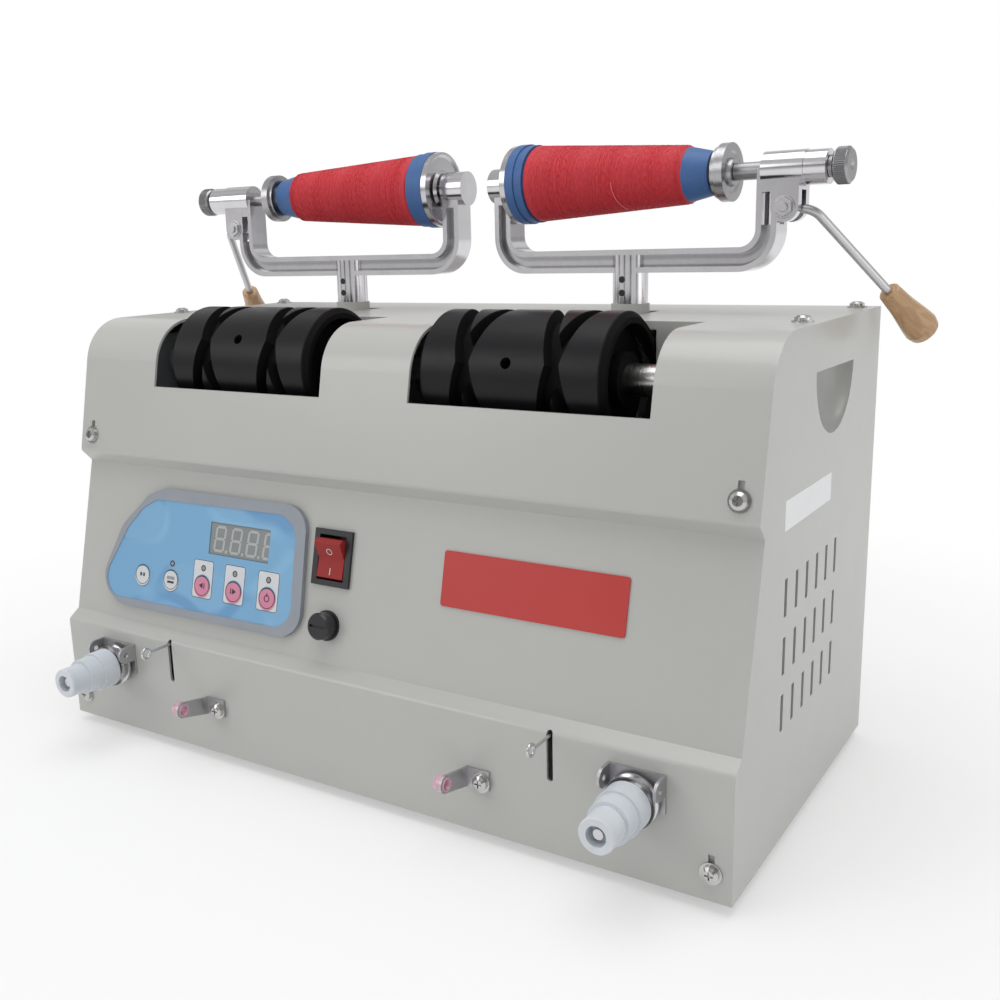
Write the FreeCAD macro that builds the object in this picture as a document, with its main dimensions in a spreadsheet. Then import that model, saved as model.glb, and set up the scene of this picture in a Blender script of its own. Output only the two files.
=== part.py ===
import FreeCAD, Part
import os
import re

import Sketcher

# Two-head cone winding machine for sewing thread, in millimetres.  It lies along X, its front
# faces -Y and its rubber feet stand on Z = 0.  The pieces of the case are drawn with Z = 0 at
# the case's underside; each finished piece is then lifted by foot_height and moved back by
# middle_y, so that the origin lies on the floor under the middle of the whole machine.  The
# pieces of a cradle are drawn along the cradle, from its post outwards, and turned by
# cradle_yaw about the post.

V = FreeCAD.Vector
doc = FreeCAD.newDocument("cone_winder")
sheet = doc.addObject("Spreadsheet::Sheet", "sizes")

SIZES = {
    # case of folded sheet, and the length of a cut that only has to pass through a wall
    "case_length": 450.0, "middle_y": 20.05, "sheet_gauge": 1.5, "front_y": -111.8, "nose_z": 64.0,
    "ledge_y": -104.1, "ledge_z": 69.3, "step_y": -81.9, "step_z": 163.9, "lip_y": -89.1,
    "lip_z": 171.4, "crest_y": -72.4, "crest_z": 253.0, "back_y": 110.9, "back_z": 255.4,
    "hood_round": 30.0, "nose_round": 3.0, "fold_depth": 25.0, "foot_height": 6.0,
    "foot_radius": 9.0, "foot_inset": 26.0, "foot_taper": 1.5, "foot_hole_radius": 3.0,
    "foot_hole_depth": 3.0, "through": 30.0,
    # windows for the drums and slots for the cradles
    "window_left_outer": 59.5, "window_left_inner": 72.5, "window_right_inner": 70.5,
    "window_right_outer": 67.5, "window_z": 214.0, "window_back_y": -14.0, "lining_drop": 50.0,
    "lining_gap": 1.0, "lining_clear": 1.0,
    "arm_slot_half": 12.0, "arm_slot_front": 11.0, "arm_slot_back": 57.6,
    # side panels
    "vent_count": 6, "vent_rows": 3, "vent_width": 4.0, "vent_height": 19.0,
    "vent_pitch": 16.9, "vent_row_pitch": 29.2, "vent_y": -48.5, "vent_z": 60.0,
    "scoop_y": 21.5, "scoop_z": 230.5, "scoop_half": 34.0, "scoop_drop": 34.0,
    "scoop_depth": 18.0,
    # drums on their shaft
    "drum_y": -40.0, "drum_z": 226.4, "drum_radius": 34.1, "drum_length": 108.5,
    "drum_right_inner": 68.5, "drum_left_outer": 50.8, "drum_chamfer": 3.0, "drum_rim": 6.0,
    "drum_recess": 8.0, "drum_hub": 14.0, "hub_set_back": 2.0, "shaft_radius": 8.25,
    "shaft_left_inset": 37.0, "shaft_right_inset": 23.0, "running_gap": 0.05, "groove_pitch": 52.0,
    "groove_reach": 48.0, "groove_width": 8.6, "groove_floor": 6.0, "groove_depth": 7.0,
    "groove_over": 2.0, "drum_turn": 16.5, "drum_turn_left": 30.0, "drum_screw_radius": 3.0,
    # stands, motor and belt inside the case
    "stand_gauge": 6.0, "stand_width": 44.0, "stand_top": 244.0, "stand_left_inset": 43.0,
    "stand_middle": -5.4, "stand_right_inset": 49.0, "stand_foot": 20.0, "stand_foot_gauge": 3.0,
    "bush_radius": 12.0, "bush_length": 12.0, "pulley_inset": 38.0, "pulley_width": 12.0,
    "pulley_radius": 22.0, "pulley_flange": 1.5, "pulley_rim": 3.0, "motor_y": 45.0,
    "motor_z": 62.0, "motor_radius": 32.0, "motor_inset": 167.0, "motor_length": 104.0,
    "motor_shaft_radius": 5.0, "motor_shaft_end": 2.0, "motor_end_gap": 0.5,
    "motor_bore": 25.0, "motor_foot_half": 30.0, "motor_foot_length": 70.0,
    "motor_box": 24.0, "motor_box_rise": 12.0, "belt_gap": 0.3, "belt_gauge": 2.5,
    "belt_width": 8.0,
    # cradle: pivot, carrier block and post
    "cradle_inset": 123.5, "cradle_y": 42.0, "cradle_yaw": 3.0, "pivot_y": 36.0,
    "pivot_z": 249.5, "pin_radius": 2.6, "pin_end": 18.0, "carrier_half": 10.5,
    "carrier_front": 14.0, "carrier_back": 18.5, "carrier_rise": 5.2, "carrier_sink": 0.4,
    "carrier_boss_radius": 11.0, "carrier_drop": 8.5, "carrier_round": 4.0,
    "ear_start": 12.3, "ear_wide": 4.2, "ear_long": 22.0,
    "ear_drop": 7.0, "post_radius": 10.0, "stud_radius": 6.0, "stud_top": 284.0,
    "stud_foot": 3.6,
    # cradle: frame of I section with its hub and barrel
    "bar_z": 276.9, "bar_height": 12.8, "frame_depth": 15.4, "arm_width": 11.3,
    "arm_clear": 13.5, "arm_out": 88.2, "flange": 3.0, "web_sink": 4.6, "web_top_gap": 1.0,
    "frame_round": 21.0, "frame_inner_round": 9.0, "spindle_z": 328.3, "hub_radius": 10.2,
    "hub_clear": 10.0, "barrel_radius": 9.2, "barrel_inset": 2.0, "barrel_end": 101.0,
    "sleeve_radius": 8.7, "sleeve_end": 112.5, "spindle_radius": 4.5, "spring_bore": 6.8,
    "spring_start": 84.0, "spring_end": 109.5, "spring_gap": 0.3, "spring_wall": 1.5,
    "spring_play": 3.0,
    "clevis_u": 92.0, "clevis_z": 309.2, "clevis_radius": 7.4, "clevis_gap": 3.2,
    "clevis_gauge": 4.6, "clevis_merge": 4.0, "clevis_slot_over": 1.0,
    "finger_slot_length": 12.8, "finger_slot_start": 5.0, "set_screw_radius": 2.0,
    "set_screw_low": 265.9, "set_screw_high": 273.3, "set_screw_proud": 0.2,
    "set_screw_socket": 1.0, "bolt_radius": 2.0, "bolt_head_radius": 4.0,
    "bolt_head_height": 2.2,
    # package of thread between its centres
    "core_clear": 31.0, "core_end": 50.5, "core_rim_length": 5.5, "core_band_length": 5.5,
    "thread_end": 37.5, "core_rim_radius": 22.7, "core_band_radius": 22.0,
    "core_big_radius": 20.3, "core_small_radius": 14.3, "core_nose_radius": 11.4,
    "core_wall": 1.8, "thread_big_radius": 21.5, "thread_small_radius": 15.3,
    "thread_shoulder": 1.2, "disc_radius": 22.4, "disc_gap": 4.1, "disc_dish": 1.6,
    "disc_rim": 3.0, "disc_rim_slope": 1.5, "disc_rim_back": 0.4, "centre_pin_radius": 4.0,
    "centre_pin_reach": 10.0, "big_plug_length": 5.0, "big_plug_nose": 8.0,
    "plug_depth": 1.5, "plug_gap": 0.3, "cap_start": 53.0, "cap_flange": 55.5,
    "cap_end": 62.0, "cap_radius": 15.1, "cap_shoulder_radius": 13.5, "cap_bore": 3.0,
    "cap_ring_radius": 10.9, "cap_ring_foot": 10.0, "cap_hub_foot": 7.5,
    "cap_hub_radius": 6.9, "cap_ring_step": 1.5, "cap_ring_depth": 2.3, "end_gap": 0.3,
    "collar_start": 94.2, "collar_end": 97.0, "collar_gap": 0.4, "neck_radius": 5.5,
    "knob_radius": 8.7, "knob_bevel": 1.0, "knob_start": 115.3, "knob_end": 123.4,
    "knob_dimple": 3.0, "knob_dimple_depth": 1.5,
    # release lever
    "finger_half": 1.7, "lever_eye_radius": 5.8, "lever_gap": 0.3, "finger_top": 323.2,
    "finger_foot": 3.0, "rod_radius": 2.4, "rod_start": 4.0, "rod_bend_u": 105.0,
    "rod_bend_v": 0.7, "rod_bend_z": 307.4, "rod_end_u": 131.1, "rod_end_v": 47.5,
    "rod_end_z": 264.7, "rod_bend_radius": 9.0, "rod_bore": 22.0, "grip_length": 38.0,
    "grip_neck_radius": 5.8, "grip_bevel": 0.8, "grip_waist_radius": 6.8,
    "grip_waist_at": 13.3, "grip_swell_radius": 8.8, "grip_swell_at": 26.6,
    "grip_end_radius": 9.4, "grip_end_at": 31.9, "grip_tip_radius": 5.4,
    # thread path on the lower front
    "tension_inset": 47.0, "tension_z": 43.0, "strap_half": 14.8, "strap_low": 38.0,
    "strap_high": 57.0, "strap_gauge": 1.5, "leg_low": 47.0, "leg_reach": 6.0,
    "leg_eye_radius": 1.6, "stud_rod_radius": 2.5, "stud_end": 40.0, "spacer_radius": 6.0,
    "nut_height": 4.0, "disc_first": 5.2, "tension_disc_radius": 12.8,
    "tension_disc_flat": 9.4, "disc_gauge": 1.2, "disc_flare": 1.6, "cap_back": 10.0,
    "cap_step_1": 21.0, "cap_step_2": 30.0, "cap_front": 42.2, "cap_radius_1": 11.9,
    "cap_radius_2": 10.7, "cap_radius_3": 8.8, "cap_bevel": 0.6, "cap_recess": 6.0,
    "cap_recess_radius": 5.0, "cap_chamber_radius": 6.2, "cap_chamber_end": 25.0,
    "coil_radius": 5.8, "coil_wall": 1.4, "coil_gap": 0.3, "wire_inset": 93.2,
    "wire_radius": 0.8, "wire_z": 62.4, "wire_pivot_y": -70.0, "wire_eye_y": -129.6,
    "wire_eye_radius": 2.9, "wire_hub_radius": 4.0, "wire_hub_half": 4.0,
    "wire_hub_overlap": 1.0, "wire_pin_radius": 1.5, "wire_slot_low": 38.5,
    "wire_slot_high": 65.0, "wire_slot_width": 3.4, "switch_half": 9.0,
    "switch_depth": 18.0, "switch_top": 70.0, "switch_play": 1.0, "switch_slot_drop": 28.0,
    "guide_inset": 132.4, "guide_offset": 2.5, "guide_z": 24.7, "guide_width": 14.4,
    "guide_height": 10.6, "guide_reach": 20.4,
    "guide_tip_z": 34.0, "guide_tip_radius": 4.7, "guide_screw_z": 28.8, "eye_radius": 4.5,
    "eye_bore": 2.2, "eye_neck": 3.6, "eye_bulge": 4.0, "eye_lip": 0.8,
    # control panel: x along the machine, heights up the slope from the ledge
    "panel_edge": 225.0, "bezel_rise": 3.0, "bezel_round": 15.0, "overlay_round": 12.0,
    "panel_out": 5.0, "panel_in": 6.0, "overlay_gauge": 1.2, "overlay_sink": 0.4,
    "display_x": -85.6, "display_v": 59.4, "display_length": 47.8, "display_height": 19.1,
    "display_gap": 0.2, "display_sink": 0.5, "board_depth": 8.0, "board_gauge": 1.6,
    "board_length": 140.0, "board_height": 62.0, "board_x": -112.0, "board_v": 46.0,
    "pillar_radius": 2.5, "pillar_inset": 6.0, "key_v": 29.2, "key_radius": 6.2, "key_gap": 0.35,
    "key_proud": 0.4, "key_travel": 0.4, "key_clear": 0.1, "stem_clear": 0.2,
    "key_stem_radius": 2.8, "key_1_x": -164.1, "key_2_x": -139.0, "key_3_x": -112.3,
    "key_4_x": -86.4, "key_5_x": -59.8, "rocker_x": -16.0, "rocker_v": 58.9,
    "rocker_length": 31.4, "rocker_width": 26.2, "rocker_wall": 2.6, "rocker_rise": 2.0,
    "rocker_depth": 19.0, "rocker_open_width": 19.0, "rocker_open_length": 25.2,
    "rocker_pocket": 8.0, "rocker_pin_radius": 1.2, "rocker_pin_depth": 1.0,
    "rocker_tilt": 13.8, "paddle_gap": 0.5, "paddle_end_gap": 0.9, "paddle_back": 3.0,
    "paddle_draft": 1.5, "paddle_shoulder": 3.4, "paddle_horn": 6.0,
    "paddle_horn_inset": 1.8, "paddle_waist": 2.8, "fuse_x": -15.8, "fuse_v": 21.2,
    "fuse_radius": 7.5, "fuse_rise": 9.0, "fuse_thread_radius": 6.0, "fuse_depth": 26.0,
    "fuse_flange": 1.2, "fuse_bevel": 1.0, "fuse_nut_gauge": 3.0, "fuse_slot_length": 11.0,
    "fuse_slot_width": 1.4, "fuse_slot_depth": 1.2, "label_x": 110.7, "label_v": 58.0,
    "label_length": 105.4, "label_height": 29.0, "label_gauge": 0.8, "label_round": 1.5,
    # fastenings and the mains inlet
    "screw_inset": 10.2, "screw_low_z": 14.2, "screw_high_z": 181.7, "screw_radius": 2.0,
    "screw_head_radius": 4.1, "screw_head_height": 2.4, "screw_head_side": 1.4,
    "screw_crown_radius": 2.5, "washer_radius": 5.4, "washer_gauge": 0.8,
    "screw_length": 9.0, "screw_cross": 0.9, "keyhole_length": 9.0, "keyhole_width": 3.2,
    "top_screw_front": -4.2, "top_screw_back": 98.0, "inlet_inset": 75.0, "inlet_z": 46.0,
    "inlet_length": 30.0, "inlet_height": 22.0, "inlet_wall": 3.0, "inlet_wing": 10.0,
    "inlet_lip": 3.0, "inlet_depth": 22.0, "inlet_floor": 6.0, "blade_width": 2.0,
    "blade_height": 4.0, "blade_length": 16.0, "blade_spread": 7.0, "blade_drop": 2.0,
}
BEZEL = [(-202.3, 21.1), (-183.0, 8.9), (-45.3, 9.8), (-33.6, 16.9), (-35.5, 76.5),
         (-44.8, 85.3), (-150.6, 85.1), (-164.9, 79.7), (-186.1, 58.8)]
OVERLAY = [(-199.1, 23.9), (-188.8, 13.4), (-49.9, 14.6), (-40.9, 21.7), (-42.7, 72.2),
           (-53.7, 78.9), (-157.1, 77.6), (-168.8, 71.2), (-180.8, 58.1)]
for prefix, corners in (("bezel", BEZEL), ("overlay", OVERLAY)):
    for i, (x, v) in enumerate(corners):
        SIZES[f"{prefix}_corner_{i}_x"] = x
        SIZES[f"{prefix}_corner_{i}_v"] = v
for row, (alias, size) in enumerate(SIZES.items(), start=1):
    sheet.set(f"A{row}", alias)
    sheet.set(f"B{row}", str(size))
    sheet.setAlias(f"B{row}", alias)
doc.recompute()

# Places that follow from the case: from its ends, its middle, which the cradles keep clear of,
# and its top; and, for the drums, from the cradles above them
TIED = {
    "cradle_x": "case_length / 2 - cradle_inset",
    "window_left_out": "-cradle_x - window_left_outer",
    "window_left_in": "window_left_inner - cradle_x",
    "window_right_in": "cradle_x - window_right_inner",
    "window_right_out": "cradle_x + window_right_outer",
    "drum_right": "cradle_x - drum_right_inner", "drum_left": "-cradle_x - drum_left_outer",
    "shaft_left": "shaft_left_inset - case_length / 2",
    "shaft_right": "case_length / 2 - shaft_right_inset",
    "stand_left": "stand_left_inset - case_length / 2",
    "stand_right": "case_length / 2 - stand_right_inset",
    "pulley_x": "case_length / 2 - pulley_inset", "motor_x": "case_length / 2 - motor_inset",
    "tension_x": "case_length / 2 - tension_inset", "wire_x": "case_length / 2 - wire_inset",
    "guide_x": "case_length / 2 - guide_inset", "screw_x": "case_length / 2 - screw_inset",
    "inlet_x": "case_length / 2 - inlet_inset",
    "arm_in": "arm_clear - cradle_x", "hub_end": "hub_clear - cradle_x",
    "core_start": "core_clear - cradle_x", "core_step": "core_start + core_rim_length",
    "thread_start": "core_step + core_band_length", "disc_back": "core_start - disc_gap",
    "centre_pin_end": "core_start + centre_pin_reach",
    "top_slope": "(back_z - crest_z) / (back_y - crest_y)",
    "carrier_top": "crest_z + (cradle_y - crest_y) * top_slope + carrier_rise",
    "carrier_deck": "crest_z + (pivot_y - crest_y) * top_slope - carrier_sink",
}
TIED_WORDS = re.compile(r"\b(" + "|".join(TIED) + r")\b")
WORDS = re.compile(r"\b(" + "|".join(sorted(SIZES, key=len, reverse=True)) + r")\b")
NODES = []


def bound(text):
    """The expression with every size's name pointed at the sheet."""
    text = str(text)
    while TIED_WORDS.search(text):
        text = TIED_WORDS.sub(lambda found: f"({TIED[found[1]]})", text)
    return WORDS.sub(r"sizes.\1", text)


def value(text):
    """What an expression comes to."""
    return float(sheet.evalExpression(bound(text)))


def bind(obj, **props):
    for prop, text in props.items():
        obj.setExpression(prop, bound(text))
    return obj


def at(obj, x=0, y=0, z=0, axis=None, angle=0):
    """Place an object by expressions, turned about one axis."""
    if axis is not None:
        obj.Placement = FreeCAD.Placement(V(0, 0, 0), FreeCAD.Rotation(V(*axis), 1))
        obj.setExpression("Placement.Rotation.Angle", bound(angle))
    for letter, text in zip("xyz", (x, y, z)):
        obj.setExpression(f"Placement.Base.{letter}", bound(text))
    return obj


def block(name, length, width, height, x=0, y=0, z=0):
    """A box whose x and y are its middle and whose z is its underside."""
    box = doc.addObject("Part::Box", name)
    bind(box, Length=length, Width=width, Height=height)
    return at(box, f"({x}) - ({length}) / 2", f"({y}) - ({width}) / 2", z)


TURN = {"X": ((0, 1, 0), 90), "Y": ((1, 0, 0), -90), "Z": (None, 0)}


def rod(name, radius, length, x=0, y=0, z=0, along="Z"):
    """A cylinder that starts at x, y, z and runs along an axis."""
    cylinder = doc.addObject("Part::Cylinder", name)
    bind(cylinder, Radius=radius, Height=length)
    return at(cylinder, x, y, z, *TURN[along])


def join(name, *pieces):
    fuse = doc.addObject("Part::MultiFuse", name)
    fuse.Shapes = list(pieces)
    return fuse


def cut(name, base, *tools):
    result = doc.addObject("Part::Cut", name)
    result.Base = base
    result.Tool = tools[0] if len(tools) == 1 else join(f"{name}_tools", *tools)
    return result


def group(name, *pieces):
    whole = doc.addObject("Part::Compound", name)
    whole.Links = list(pieces)
    return whole


def node(name, *pieces, x=0, y=0, z=0, axis=None, angle=0):
    """A finished piece, or a group of like pieces, in its place in the machine."""
    whole = at(group(name, *pieces), x, f"({y}) + middle_y", f"({z}) + foot_height", axis,
               angle)
    NODES.append(whole)
    return whole


def mirror(name, source):
    """The same piece on the other side of the machine's middle."""
    copy = doc.addObject("Part::Mirroring", name)
    copy.Source = source
    copy.Normal = V(1, 0, 0)
    return copy


def left_twin(name, source):
    NODES.append(mirror(name, source))


def outline(body, plane, points):
    """A closed outline of straight lines, every corner held by expressions."""
    sketch = body.newObject("Sketcher::SketchObject", f"{body.Name}_outline")
    origin = next(f for f in body.Origin.OriginFeatures if f.Role == plane)
    sketch.AttachmentSupport = [(origin, "")]
    sketch.MapMode = "FlatFace"
    spots = [V(value(a), value(b), 0) for a, b in points]
    count = len(spots)
    for i in range(count):
        sketch.addGeometry(Part.LineSegment(spots[i], spots[(i + 1) % count]), False)
    for i in range(count):
        sketch.addConstraint(Sketcher.Constraint("Coincident", i, 2, (i + 1) % count, 1))
    for i, (a, b) in enumerate(points):
        for kind, text, spot, axis in (("DistanceX", a, spots[i].x, -2),
                                       ("DistanceY", b, spots[i].y, -1)):
            if str(text) == "0":
                sketch.addConstraint(Sketcher.Constraint("PointOnObject", i, 1, axis))
                continue
            index = sketch.addConstraint(Sketcher.Constraint(kind, -1, 1, i, 1, spot))
            sketch.setExpression(f"Constraints[{index}]", bound(text))
    return sketch


FLAT = {"YZ_Plane": ("y", "z"), "XZ_Plane": ("x", "z"), "XY_Plane": ("x", "y")}


def stands_on(edge, plane, corner):
    """Whether a straight edge of a pad stands on a corner of its outline."""
    ends = [vertex.Point for vertex in edge.Vertexes]
    return len(ends) == 2 and all(
        abs(getattr(end, letter) - value(text)) < 1e-4
        for end in ends for letter, text in zip(FLAT[plane], corner))


def prism(name, plane, points, length, rounds=()):
    """A plate or bar: an outline padded evenly to both sides of its plane, with the corners
    that rounds names rounded."""
    body = doc.addObject("PartDesign::Body", name)
    pad = body.newObject("PartDesign::Pad", f"{name}_pad")
    pad.Profile = outline(body, plane, points)
    pad.SideType = "Symmetric"
    bind(pad, Length=length)
    body.Tip = pad
    for count, (corners, radius) in enumerate(rounds):
        doc.recompute()
        names = [f"Edge{i + 1}" for i, edge in enumerate(body.Tip.Shape.Edges)
                 if any(stands_on(edge, plane, points[corner]) for corner in corners)]
        base = body.Tip
        fillet = body.newObject("PartDesign::Fillet", f"{name}_round_{count}")
        fillet.Base = (base, names)
        bind(fillet, Radius=radius)
        body.Tip = fillet
    return body


def turned(name, along, points):
    """A lathe piece: pairs of place along the axis and radius, spun about that axis."""
    body = doc.addObject("PartDesign::Body", name)
    if along != "X":
        points = [(radius, place) for place, radius in points]
    profile = outline(body, "XZ_Plane" if along == "Z" else "XY_Plane", points)
    spin = body.newObject("PartDesign::Revolution", f"{name}_spin")
    spin.Profile = profile
    spin.ReferenceAxis = (profile, ["H_Axis" if along == "X" else "V_Axis"])
    spin.Angle = 360
    body.Tip = spin
    return body


def folded(name, points, kept, rounds):
    """A bent sheet: a solid along the case, hollowed from its ends and from each side of its
    outline that isn't kept."""
    body = prism(name, "YZ_Plane", points, "case_length", rounds)
    doc.recompute()
    corners = [V(0, value(y), value(z)) for y, z in points]
    open_sides = [(corners[i], corners[(i + 1) % len(corners)])
                  for i in range(len(corners)) if i not in kept]

    def is_open(face):
        if face.Surface.TypeId != "Part::GeomPlane":
            return False
        if abs(face.normalAt(0, 0).x) > 0.5:
            return True
        middle = V(0, face.CenterOfMass.y, face.CenterOfMass.z)
        return any((end - start).cross(middle - start).Length < 1e-3 * (end - start).Length
                   for start, end in open_sides)

    names = [f"Face{i + 1}" for i, face in enumerate(body.Tip.Shape.Faces) if is_open(face)]
    solid = body.Tip
    shell = body.newObject("PartDesign::Thickness", f"{name}_shell")
    shell.Base = (solid, names)
    shell.Reversed = True
    shell.Join = "Intersection"
    bind(shell, Value="sheet_gauge")
    body.Tip = shell
    return body


PANEL_LEAN = "atan((step_y - ledge_y) / (step_z - ledge_z))"
TOP_LEAN = "atan(top_slope)"
TOP_SCREW_TURN = "-atan(1 / top_slope)"
HOOD_LEAN = "atan((crest_y - lip_y) / (crest_z - lip_z))"
PANEL = dict(x="panel_edge - case_length / 2", y="ledge_y", z="ledge_z", axis=(-1, 0, 0),
             angle=PANEL_LEAN)
CRADLE = dict(x="cradle_x", y="cradle_y", axis=(0, 0, -1), angle="cradle_yaw")
ON_SPINDLE = dict(CRADLE, z="spindle_z")
SIDES = (("right", "1"), ("left", "-1"))


def hood_face(z):
    """The place of the hood's front face at a height."""
    return f"lip_y + (({z}) - lip_z) * (crest_y - lip_y) / (crest_z - lip_z)"


def hood_top(y):
    """The height of the hood's top at a place."""
    return f"crest_z + (({y}) - crest_y) * top_slope"


# Cover screws: pan head with a cross, on a washer, drawn along Y with the head towards -Y


def cover_screw(name, **place):
    crown = "-washer_gauge - screw_head_height"
    screw = turned(f"{name}_turned", "Y", [
        ("screw_length", 0), ("screw_length", "screw_radius"), (0, "screw_radius"),
        (0, "washer_radius"), ("-washer_gauge", "washer_radius"),
        ("-washer_gauge", "screw_head_radius"),
        ("-washer_gauge - screw_head_side", "screw_head_radius"),
        (crown, "screw_crown_radius"), (crown, 0)])
    arms = [block(f"{name}_arm_{i}", length, "screw_head_height", height, 0, crown,
                  f"-({height}) / 2")
            for i, (length, height) in enumerate((("screw_head_radius", "screw_cross"),
                                                  ("screw_cross", "screw_head_radius")))]
    return at(cut(name, screw, *arms), **place)


def wall_hole(name, radius, x, wall_y, z):
    """A round cut through a wall that faces the front."""
    return rod(name, radius, "through", x, f"({wall_y}) - through / 2", z, "Y")


screws, high_holes, low_holes, top_holes = [], [], [], []
for label, side in SIDES:
    x = f"{side} * screw_x"
    high = dict(x=x, y=hood_face("screw_high_z"), z="screw_high_z", axis=(-1, 0, 0),
                angle=HOOD_LEAN)
    low = dict(x=x, y="front_y", z="screw_low_z")
    for place, holes, spot in (("high", high_holes, high), ("low", low_holes, low)):
        screws.append(cover_screw(f"screw_{place}_{label}", **spot))
        hole = join(f"{place}_cut_{label}",
                    wall_hole(f"{place}_hole_{label}", "screw_radius", 0, 0, 0),
                    block(f"{place}_keyhole_{label}", "keyhole_width", "through",
                          "keyhole_length"))
        holes.append(at(hole, **spot))
    screws.append(cover_screw(f"guide_screw_{label}", x=f"{side} * guide_x",
                              y="front_y - strap_gauge", z="guide_screw_z"))
    for row in ("top_screw_front", "top_screw_back"):
        screws.append(cover_screw(f"{row}_{label}", x=x, y=row, z=hood_top(row),
                                  axis=(1, 0, 0), angle=TOP_SCREW_TURN))
        top_holes.append(at(rod(f"{row}_hole_{label}", "screw_radius", "through"), x,
                            f"{row} + sin({TOP_LEAN}) * through / 2",
                            f"{hood_top(row)} - cos({TOP_LEAN}) * through / 2", (1, 0, 0),
                            TOP_LEAN))
node("cover_screws", *screws)

# Hood cover with its windows and slots


def window(name, start, end):
    reach = "window_back_y - lip_y + through"
    return block(name, f"({end}) - ({start})", reach, "back_z - window_z + through",
                 f"(({end}) + ({start})) / 2", f"window_back_y - ({reach}) / 2", "window_z")


def arm_slot(label, side):
    return block(f"arm_slot_{label}", "2 * arm_slot_half", "arm_slot_back - arm_slot_front",
                 "through", f"{side} * cradle_x", "(arm_slot_back + arm_slot_front) / 2",
                 "back_z - through / 2")


hood_shell = folded(
    "hood_shell",
    [("step_y", "step_z"), ("lip_y", "lip_z"), ("crest_y", "crest_z"), ("back_y", "back_z"),
     ("back_y", "step_z")],
    kept=(0, 1, 2), rounds=[((2,), "hood_round"), ((1,), "nose_round")])

def lining(label, start, end):
    """The sheet's flange that hangs from a window's back edge: low over the drum, and deep
    beside its outer end."""
    top = f"{hood_top('window_back_y')} - sheet_gauge / 2"
    over_drum = ("drum_z + lining_clear + sqrt(drum_radius * drum_radius - "
                 "(window_back_y - drum_y) * (window_back_y - drum_y))")
    beside = f"drum_{label} + drum_length + lining_gap"
    return [block(f"lining_{name}_{label}", f"({end}) - ({left})", "sheet_gauge",
                  f"{top} - ({low})", f"(({end}) + ({left})) / 2",
                  "window_back_y + sheet_gauge / 2", low)
            for name, left, low in (("over", start, over_drum),
                                    ("beside", beside, f"{top} - lining_drop"))]


windows = [("left", "window_left_out", "window_left_in"),
           ("right", "window_right_in", "window_right_out")]
hood_holed = cut("hood_holed", hood_shell,
                 *[window(f"window_{label}", start, end) for label, start, end in windows],
                 *[arm_slot(*side) for side in SIDES], *high_holes, *top_holes)
node("hood_cover", join("hood_lined", hood_holed,
                        *[piece for each in windows for piece in lining(*each)]))

# Front cover: lower face, ledge and sloping panel


def panel_box(name, x, v, length, height, outward="panel_out", inward="panel_in"):
    """A box through the panel's face, from outward of it to inward of it."""
    return block(name, length, f"({outward}) + ({inward})", height, x,
                 f"(({inward}) - ({outward})) / 2", f"({v}) - ({height}) / 2")


def panel_rod(name, x, v, radius, outward="panel_out", inward="panel_in"):
    return rod(name, radius, f"({outward}) + ({inward})", x, f"-({outward})", v, "Y")


KEYS = [f"key_{i}_x" for i in range(1, 6)]
DISPLAY_WINDOW = ("display_x", "display_v", "display_length", "display_height")


def stem_holes(name):
    return [panel_rod(f"{name}_{i}", x, "key_v", "key_stem_radius + key_gap")
            for i, x in enumerate(KEYS, 1)]


panel_cuts = join(
    "panel_cuts", panel_box("display_cut", *DISPLAY_WINDOW),
    panel_box("rocker_cut", "rocker_x", "rocker_v", "rocker_width - rocker_wall",
              "rocker_length - rocker_wall"),
    panel_rod("fuse_cut", "fuse_x", "fuse_v", "fuse_thread_radius"), *stem_holes("stem_cut"))
at(panel_cuts, **PANEL)


def wire_slot(label, side):
    """The slot that a drop wire falls in, with round ends."""
    x = f"{side} * wire_x"
    half = "wire_slot_width / 2"
    return [block(f"wire_slot_{label}", "wire_slot_width", "through",
                  "wire_slot_high - wire_slot_low - wire_slot_width", x, "front_y",
                  f"wire_slot_low + {half}"),
            wall_hole(f"wire_low_{label}", half, x, "front_y", f"wire_slot_low + {half}"),
            wall_hole(f"wire_high_{label}", half, x, "front_y", f"wire_slot_high - {half}")]


front_shell = folded(
    "front_shell",
    [("front_y", 0), ("front_y", "nose_z"), ("ledge_y", "ledge_z"), ("step_y", "step_z"),
     ("step_y + fold_depth", "step_z"), ("step_y + fold_depth", 0)],
    kept=(0, 1, 2), rounds=[((1,), "nose_round")])
node("front_cover", cut(
    "front_holed", front_shell, panel_cuts, *wire_slot(*SIDES[0]), *wire_slot(*SIDES[1]),
    *low_holes,
    *[wall_hole(f"tension_hole_{label}", "stud_rod_radius", f"{side} * tension_x", "front_y",
                "tension_z") for label, side in SIDES],
    *[wall_hole(f"guide_hole_{label}", "screw_radius", f"{side} * guide_x", "front_y",
                "guide_screw_z") for label, side in SIDES]))

# Rear panel, base plate and feet
rear_sheet = block("rear_sheet", "case_length", "sheet_gauge", "back_z - sheet_gauge",
                   0, "back_y - sheet_gauge / 2")
node("rear_panel", cut("rear_holed", rear_sheet, hood_shell,
                       block("inlet_cut", "inlet_length", "through", "inlet_height",
                             "inlet_x", "back_y", "inlet_z - inlet_height / 2")))
base_sheet = block("base_sheet", "case_length", "back_y - front_y - 2 * sheet_gauge",
                   "sheet_gauge", 0, "(back_y + front_y) / 2")
FEET = [(f"{side} * (case_length / 2 - foot_inset)", y) for label, side in SIDES
        for y in ("front_y + foot_inset", "back_y - foot_inset")]
node("base_plate", cut("base_holed", base_sheet,
                       *[rod(f"foot_bolt_hole_{i}", "screw_radius", "through", x, y,
                             "-through / 2") for i, (x, y) in enumerate(FEET)]))


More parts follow.
